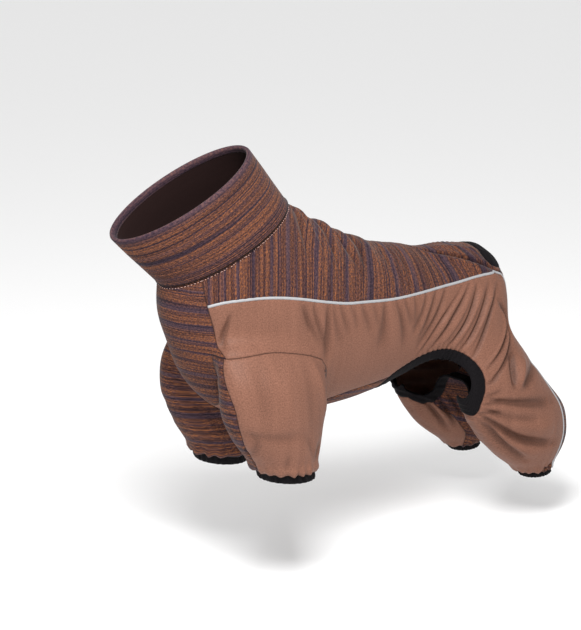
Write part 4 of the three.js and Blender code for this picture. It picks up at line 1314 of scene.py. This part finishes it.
# Scales of the noise that lets the stripes wander, and of bands and lines along their run
DRIFT_SCALES = (25.0, 22.0)
BAND_RUN = 0.6
LINE_RUN = 0.4
BAND_EDGES = (0.53, 0.59)
# A line lies where its noise is near this level
LINE_LEVEL = 0.46
LINE_EDGES = (0.010, 0.030)
# Lines above the collar's sewn edge, where they fade out, and the violet of its rim
HEM_LINE_PITCH = 0.0021
HEM_EDGES = (0.0, 0.7)
HEM_FADE = (0.009, 0.013)
COLLAR_RIM_PLACE = 0.0715
RIM_FADE = (-0.002, 0.001)
RIM_VIOLET = 0.85
# Scales of the ribbed knit's noises across and along its ribs, and the ribs' share
GRAIN_SCALES = (820.0, 700.0)
MOTTLE_SCALES = (140.0, 14.0)
RIB_SHARE = 0.25
SHEEN_ROUGHNESS = 0.4

# Each finish has a pattern and its values. The bump is in metres, and a last value, where
# given, sets how strong the shade painted along seams and in folds is.
FINISHES = {
    # The collar's painted shade is the strongest and paints a shadow line along its hem
    "collar_stripes": {
        "pattern": "yarn_stripes",
        "values": {"Bands": 120.0, "Band Amount": 0.35, "Lines": 75.0, "Line Amount": 0.9,
                   "Hem Amount": 1.0, "Rim": COLLAR_RIM_PLACE},
        "roughness": 0.85, "specular": 0.06, "sheen": 0.06, "bump": 0.00025, "painted_shade": 0.95,
    },
    "striped_knit": {
        "pattern": "yarn_stripes", "values": {},
        "roughness": 0.85, "specular": 0.06, "sheen": 0.09, "bump": 0.00025, "painted_shade": 0.5,
    },
    "brown_knit": {
        "pattern": "fine_ribs",
        "values": {"Color": (0.161, 0.0735, 0.0490, 1), "Pitch": 0.0011, "Contrast": 0.10,
                   "Grain": 1.05, "Mottle": 0.30},
        "roughness": 0.50, "specular": 0.10, "sheen": 0.02, "bump": 0.00008, "painted_shade": 0.5,
    },
    "elastic_binding": {
        "pattern": "fine_ribs",
        "values": {"Color": (0.0050, 0.0042, 0.0050, 1), "Pitch": 0.0012, "Contrast": 0.8,
                   "Grain": 0.8, "Mottle": 0.5},
        "roughness": 0.75, "specular": 0.06, "sheen": 0.01, "bump": 0.0003,
    },
    "reflective_piping": {
        "pattern": "fine_ribs",
        "values": {"Color": (0.29, 0.29, 0.30, 1), "Pitch": 0.0010, "Contrast": 0.25,
                   "Grain": 0.3, "Mottle": 0.2},
        "roughness": 0.40, "specular": 0.3, "sheen": 0.0, "bump": 0.0001,
    },
    "thread": {
        "pattern": "fine_ribs",
        "values": {"Color": (0.52, 0.33, 0.28, 1), "Pitch": 0.0005, "Contrast": 0.3,
                   "Grain": 0.1, "Mottle": 0.1},
        "roughness": 0.6, "specular": 0.1, "sheen": 0.0, "bump": 0.00005,
    },
    "lining_knit": {
        "pattern": "fine_ribs",
        "values": {"Color": (0.014, 0.007, 0.0065, 1), "Pitch": 0.0011, "Contrast": 0.5,
                   "Grain": 0.4, "Mottle": 0.3},
        "roughness": 0.85, "specular": 0.05, "sheen": 0.02, "bump": 0.0001,
    },
}


def add_node(tree, kind, inputs=None, **settings):
    """New node with its settings, and its inputs given as values or as sockets to read."""
    made = tree.nodes.new(kind)
    for name, value in settings.items():
        setattr(made, name, value)
    for key, value in (inputs or {}).items():
        if isinstance(value, bpy.types.NodeSocket):
            tree.links.new(value, made.inputs[key])
        else:
            made.inputs[key].default_value = value
    return made


def maths(tree, operation, first, second=0.0, third=0.0):
    made = add_node(tree, "ShaderNodeMath", {0: first, 1: second, 2: third}, operation=operation)
    return made.outputs[0]


def times(tree, first, second):
    return maths(tree, "MULTIPLY", first, second)


def minus(tree, first, second):
    return maths(tree, "SUBTRACT", first, second)


def larger(tree, first, second):
    return maths(tree, "MAXIMUM", first, second)


def blend_colours(tree, share, first, second, mode="MIX"):
    """Colour output of a mix of two colours or colour sockets."""
    made = add_node(tree, "ShaderNodeMix", {"Factor": share}, data_type="RGBA", blend_type=mode)
    for key, value in (("A", first), ("B", second)):
        socket = next(s for s in made.inputs if s.name == key and s.type == "RGBA")
        if isinstance(value, bpy.types.NodeSocket):
            tree.links.new(value, socket)
        else:
            socket.default_value = value
    return next(s for s in made.outputs if s.type == "RGBA")


def new_group(name, inputs, outputs):
    """Empty node group with its sockets, and its input and output nodes."""
    group = bpy.data.node_groups.new(name, "ShaderNodeTree")
    for title, kind, value in inputs:
        socket = group.interface.new_socket(title, in_out="INPUT", socket_type=kind)
        if value is not None:
            socket.default_value = value
    for title, kind in outputs:
        group.interface.new_socket(title, in_out="OUTPUT", socket_type=kind)
    return group, group.nodes.new("NodeGroupInput"), group.nodes.new("NodeGroupOutput")


def noise(tree, place, scales, detail):
    """Noise over a flat place of two sockets, with its own scale for each."""
    across, along = (times(tree, socket, scale) for socket, scale in zip(place, scales))
    scaled = add_node(tree, "ShaderNodeCombineXYZ", {"X": across, "Y": along})
    made = add_node(tree, "ShaderNodeTexNoise", {
        "Vector": scaled.outputs[0], "Scale": 1.0, "Detail": detail, "Roughness": 0.5,
    })
    return made.outputs["Fac"]


def stretched(tree, value, low, high):
    """The value's range from low to high, stretched to 0 and 1."""
    made = add_node(tree, "ShaderNodeMapRange", {
        "Value": value, "From Min": low, "From Max": high, "To Min": 0.0, "To Max": 1.0,
    }, clamp=True)
    return made.outputs["Result"]


def seam_shade_group():
    """Painted shade: darker where cloth turns into a seam or lies deep in a fold."""
    group, given, out = new_group(
        "seam_shade",
        [("Color", "NodeSocketColor", None), ("Distance", "NodeSocketFloat", 1.0),
         ("Width", "NodeSocketFloat", 0.0011), ("Darkness", "NodeSocketFloat", 0.5),
         ("Dent", "NodeSocketFloat", 0.0), ("Full Dent", "NodeSocketFloat", 0.0028),
         ("Dent Darkness", "NodeSocketFloat", 0.42)],
        [("Color", "NodeSocketColor")],
    )
    # Shade painted along the seam, then shade painted deep in a fold
    share = maths(group, "DIVIDE", given.outputs["Distance"], given.outputs["Width"])
    edge = minus(group, 1.0, stretched(group, share, 0.3, 1.0))
    edge = times(group, edge, given.outputs["Darkness"])
    depth = maths(group, "DIVIDE", given.outputs["Dent"], given.outputs["Full Dent"])
    depth = stretched(group, depth, 0.0, 1.0)
    depth = times(group, depth, given.outputs["Dent Darkness"])
    shaded = blend_colours(
        group, larger(group, edge, depth), given.outputs["Color"], SHADE_COLOUR)
    group.links.new(shaded, out.inputs["Color"])
    return group


def colour_ramp(group, factor, colours):
    """Colour output of a ramp through (place, colour) pairs."""
    ramp = add_node(group, "ShaderNodeValToRGB", {"Fac": factor})
    points = ramp.color_ramp.elements
    while len(points) < len(colours):
        points.new(0.5)
    for point, (place, colour) in zip(points, colours):
        point.position = place
        point.color = (*colour, 1)
    return ramp.outputs["Color"]


def striped_pattern_group():
    """Marled rust and brown yarn with violet bands and thin violet lines."""
    group, given, out = new_group(
        "yarn_stripes",
        [("Place", "NodeSocketVector", None), ("Warp", "NodeSocketFloat", 0.0012),
         ("Bands", "NodeSocketFloat", 118.0), ("Band Amount", "NodeSocketFloat", 0.9),
         ("Lines", "NodeSocketFloat", 105.0), ("Line Amount", "NodeSocketFloat", 0.6),
         ("Hem Amount", "NodeSocketFloat", 0.0), ("Rim", "NodeSocketFloat", 10.0)],
        [("Color", "NodeSocketColor"), ("Height", "NodeSocketFloat")],
    )
    parts = add_node(group, "ShaderNodeSeparateXYZ", {0: given.outputs["Place"]})
    across, along = parts.outputs["X"], parts.outputs["Y"]
    drift = minus(group, noise(group, (across, along), DRIFT_SCALES, 1.0), 0.5)
    drift = times(group, times(group, drift, given.outputs["Warp"]), 2.0)
    place = (maths(group, "ADD", across, drift), along)

    bands = noise(group, place, (given.outputs["Bands"], BAND_RUN), 1.0)
    bands = times(group, stretched(group, bands, *BAND_EDGES), given.outputs["Band Amount"])
    lines = noise(group, place, (given.outputs["Lines"], LINE_RUN), 0.0)
    lines = maths(group, "ABSOLUTE", minus(group, lines, LINE_LEVEL))
    lines = minus(group, 1.0, stretched(group, lines, *LINE_EDGES))
    lines = times(group, lines, given.outputs["Line Amount"])
    hem = maths(group, "SINE", times(group, across, 2 * math.pi / HEM_LINE_PITCH))
    hem = times(group, stretched(group, hem, *HEM_EDGES), given.outputs["Hem Amount"])
    hem = times(group, hem, minus(group, 1.0, stretched(group, across, *HEM_FADE)))
    rim = stretched(group, minus(group, across, given.outputs["Rim"]), *RIM_FADE)
    rim = times(group, rim, RIM_VIOLET)
    violet = larger(group, larger(group, bands, lines), larger(group, hem, rim))

    threads, marl, flecks, hue = (
        stretched(group, noise(group, place, scales, detail), *limits)
        for scales, detail, limits in (THREAD_NOISE, MARL_NOISE, FLECK_NOISE, HUE_NOISE))
    hue = times(group, hue, 0.40)
    violet = maths(group, "MULTIPLY_ADD", minus(group, 1.0, violet), hue, violet)
    violet = times(group, violet, minus(group, 1.0, times(group, flecks, 0.25)))
    tone = maths(group, "MULTIPLY_ADD", threads, 0.34, times(group, marl, 0.40))
    tone = maths(group, "MULTIPLY_ADD", flecks, 0.26, tone)
    tone = maths(group, "MULTIPLY_ADD", larger(group, lines, hem), 0.42, tone)
    coloured = blend_colours(
        group, violet, colour_ramp(group, tone, RUST_YARN), colour_ramp(group, tone, VIOLET_YARN))
    height = maths(group, "ADD", times(group, flecks, 0.5), times(group, marl, 0.5))
    group.links.new(coloured, out.inputs["Color"])
    group.links.new(height, out.inputs["Height"])
    return group


def rib_pattern_group():
    """Fine ribs of a smooth knit or elastic, slightly uneven."""
    group, given, out = new_group(
        "fine_ribs",
        [("Place", "NodeSocketVector", None), ("Color", "NodeSocketColor", None),
         ("Pitch", "NodeSocketFloat", 0.0009), ("Contrast", "NodeSocketFloat", 0.1),
         ("Grain", "NodeSocketFloat", 0.1), ("Mottle", "NodeSocketFloat", 0.1)],
        [("Color", "NodeSocketColor"), ("Height", "NodeSocketFloat")],
    )
    parts = add_node(group, "ShaderNodeSeparateXYZ", {0: given.outputs["Place"]})
    place = (parts.outputs["X"], parts.outputs["Y"])
    turns = maths(group, "DIVIDE", place[0], given.outputs["Pitch"])
    ribs = maths(group, "SINE", times(group, turns, 2 * math.pi))
    grain = noise(group, place, GRAIN_SCALES, 1.0)
    mottle = noise(group, place, MOTTLE_SCALES, 2.0)
    shade = times(group, times(group, ribs, RIB_SHARE), given.outputs["Contrast"])
    shade = maths(
        group, "MULTIPLY_ADD", minus(group, grain, 0.5), given.outputs["Grain"], shade)
    tone = times(group, minus(group, mottle, 0.5), given.outputs["Mottle"])
    factor = maths(group, "ADD", maths(group, "ADD", shade, tone), 1.0)
    channels = dict.fromkeys(["Red", "Green", "Blue"], factor)
    grey = add_node(group, "ShaderNodeCombineColor", channels)
    coloured = blend_colours(group, 1.0, given.outputs["Color"], grey.outputs[0], "MULTIPLY")
    height = maths(group, "MULTIPLY_ADD", ribs, RIB_SHARE, grain)
    group.links.new(coloured, out.inputs["Color"])
    group.links.new(height, out.inputs["Height"])
    return group


def new_material(name, roughness, specular, sheen):
    """Material with its shader's even values set, ready for colour and bump."""
    made = bpy.data.materials.new(name)
    made.use_nodes = True
    shader = made.node_tree.nodes["Principled BSDF"]
    shader.inputs["Roughness"].default_value = roughness
    shader.inputs["Specular IOR Level"].default_value = specular
    shader.inputs["Sheen Weight"].default_value = sheen
    shader.inputs["Sheen Roughness"].default_value = SHEEN_ROUGHNESS
    return made, made.node_tree, shader


def shaded_colour(tree, colour, seam_shade, painted_shade):
    """The colour with painted shade, darker by the piece's own distance from a seam and depth in
    a fold.
    """
    distance = add_node(tree, "ShaderNodeAttribute", attribute_name="seam")
    dent = add_node(tree, "ShaderNodeAttribute", attribute_name="dent")
    shade = add_node(tree, "ShaderNodeGroup", {
        "Color": colour, "Distance": distance.outputs["Fac"], "Dent": dent.outputs["Fac"],
        "Darkness": painted_shade,
    }, node_tree=seam_shade)
    return shade.outputs["Color"]


def cloth_material(name, patterns, pattern, values, roughness, specular, sheen, bump,
                   painted_shade=None):
    """Material of a cloth with a pattern over its flat place and maybe shade painted along its
    seams and in its folds.
    """
    made, tree, shader = new_material(name, roughness, specular, sheen)
    flat = add_node(tree, "ShaderNodeUVMap", uv_map="cloth")
    weave = add_node(
        tree, "ShaderNodeGroup", {"Place": flat.outputs["UV"], **values},
        node_tree=patterns[pattern])
    colour = weave.outputs["Color"]
    if painted_shade is not None:
        colour = shaded_colour(tree, colour, patterns["seam_shade"], painted_shade)
    tree.links.new(colour, shader.inputs["Base Color"])
    relief = add_node(tree, "ShaderNodeBump", {
        "Height": weave.outputs["Height"], "Strength": 1.0, "Distance": bump,
    })
    tree.links.new(relief.outputs["Normal"], shader.inputs["Normal"])
    return made


def make_finishes():
    patterns = {
        "yarn_stripes": striped_pattern_group(),
        "fine_ribs": rib_pattern_group(),
        "seam_shade": seam_shade_group(),
    }
    return {name: cloth_material(name, patterns, **finish) for name, finish in FINISHES.items()}


# The suit, piece by piece

# Panels that are cut from the suit's surface, by their slot
PANELS = {
    "striped_knit": ["back_yoke", "chest_panel", "seat_panel", "sleeve_inner_left",
                     "sleeve_inner_right"],
    "brown_knit": ["side_panel_left", "side_panel_right", "sleeve_outer_left",
                   "sleeve_outer_right"],
    "elastic_binding": ["belly_opening_binding", "tail_opening_binding"],
}


def placed(made, node, slot, finishes, finish=None):
    """Give a piece its finish and its body, and hide the solid that it stands for."""
    made.data.materials.append(finishes[finish or slot])
    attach(made, "root")
    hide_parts(node)
    return made


def as_cloth(made, thickness):
    wall = made.modifiers.new("cloth", "SOLIDIFY")
    wall.thickness = thickness
    wall.offset = -1


def sewn_panels(finishes):
    """All panels and bindings, and the cloth's whole surface for the trims to lie on."""
    suit = suit_surface()
    table, faces = suit_table(suit)
    bpy.data.objects.remove(suit)
    panel = panel_of(table, faces)
    seam = seam_distance(table, faces, panel)
    dip = SEAM_DIP * np.exp(-(seam / SEAM_REACH) ** 2)
    points = table[:, PLACE] - vertex_normals(table[:, PLACE], faces) * dip[:, None]
    for slot, names in PANELS.items():
        wall = BINDING_WALL if slot == "elastic_binding" else CLOTH
        for name in names:
            flat = cloth_place(name, table[:, REST])
            made = panel_object(name, points, faces[panel == name], flat, seam, table[:, DENT])
            placed(made, name, slot, finishes)
            as_cloth(made, wall)
    return BVHTree.FromPolygons(points.tolist(), faces.tolist())


def side_trims(tree, side, word, finishes):
    """Piping and cuffs of the left or right side."""
    route, normals = piping_route(tree, side)
    piping = swept_strip(
        f"side_piping_{word}_cord", route, normals, PIPING_WIDTH / 2, PIPING_HEIGHT)
    placed(piping, f"side_piping_{word}", "reflective_piping", finishes)
    for limb, rows in (("front", sleeve_sections(side)), ("hind", leg_sections())):
        band = cuff(f"{limb}_cuff_{word}_band", rows, side)
        placed(band, f"{limb}_cuff_{word}", "elastic_binding", finishes)


def dress_suit(finishes):
    """Every piece of the suit, each in place of its solid."""
    tree = sewn_panels(finishes)
    for side, word in SIDES.items():
        side_trims(tree, side, word, finishes)
    collar = placed(collar_cloth(), "collar", "striped_knit", finishes, "collar_stripes")
    as_cloth(collar, COLLAR_CLOTH)
    stitches = collar_stitches(tree)
    stitches.data.materials.append(finishes["thread"])
    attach(stitches, "root")
    lining = placed(collar_lining_cloth(), "collar_lining", "lining_knit", finishes)
    as_cloth(lining, COLLAR_CLOTH)


camera()
studio()
dress_suit(make_finishes())
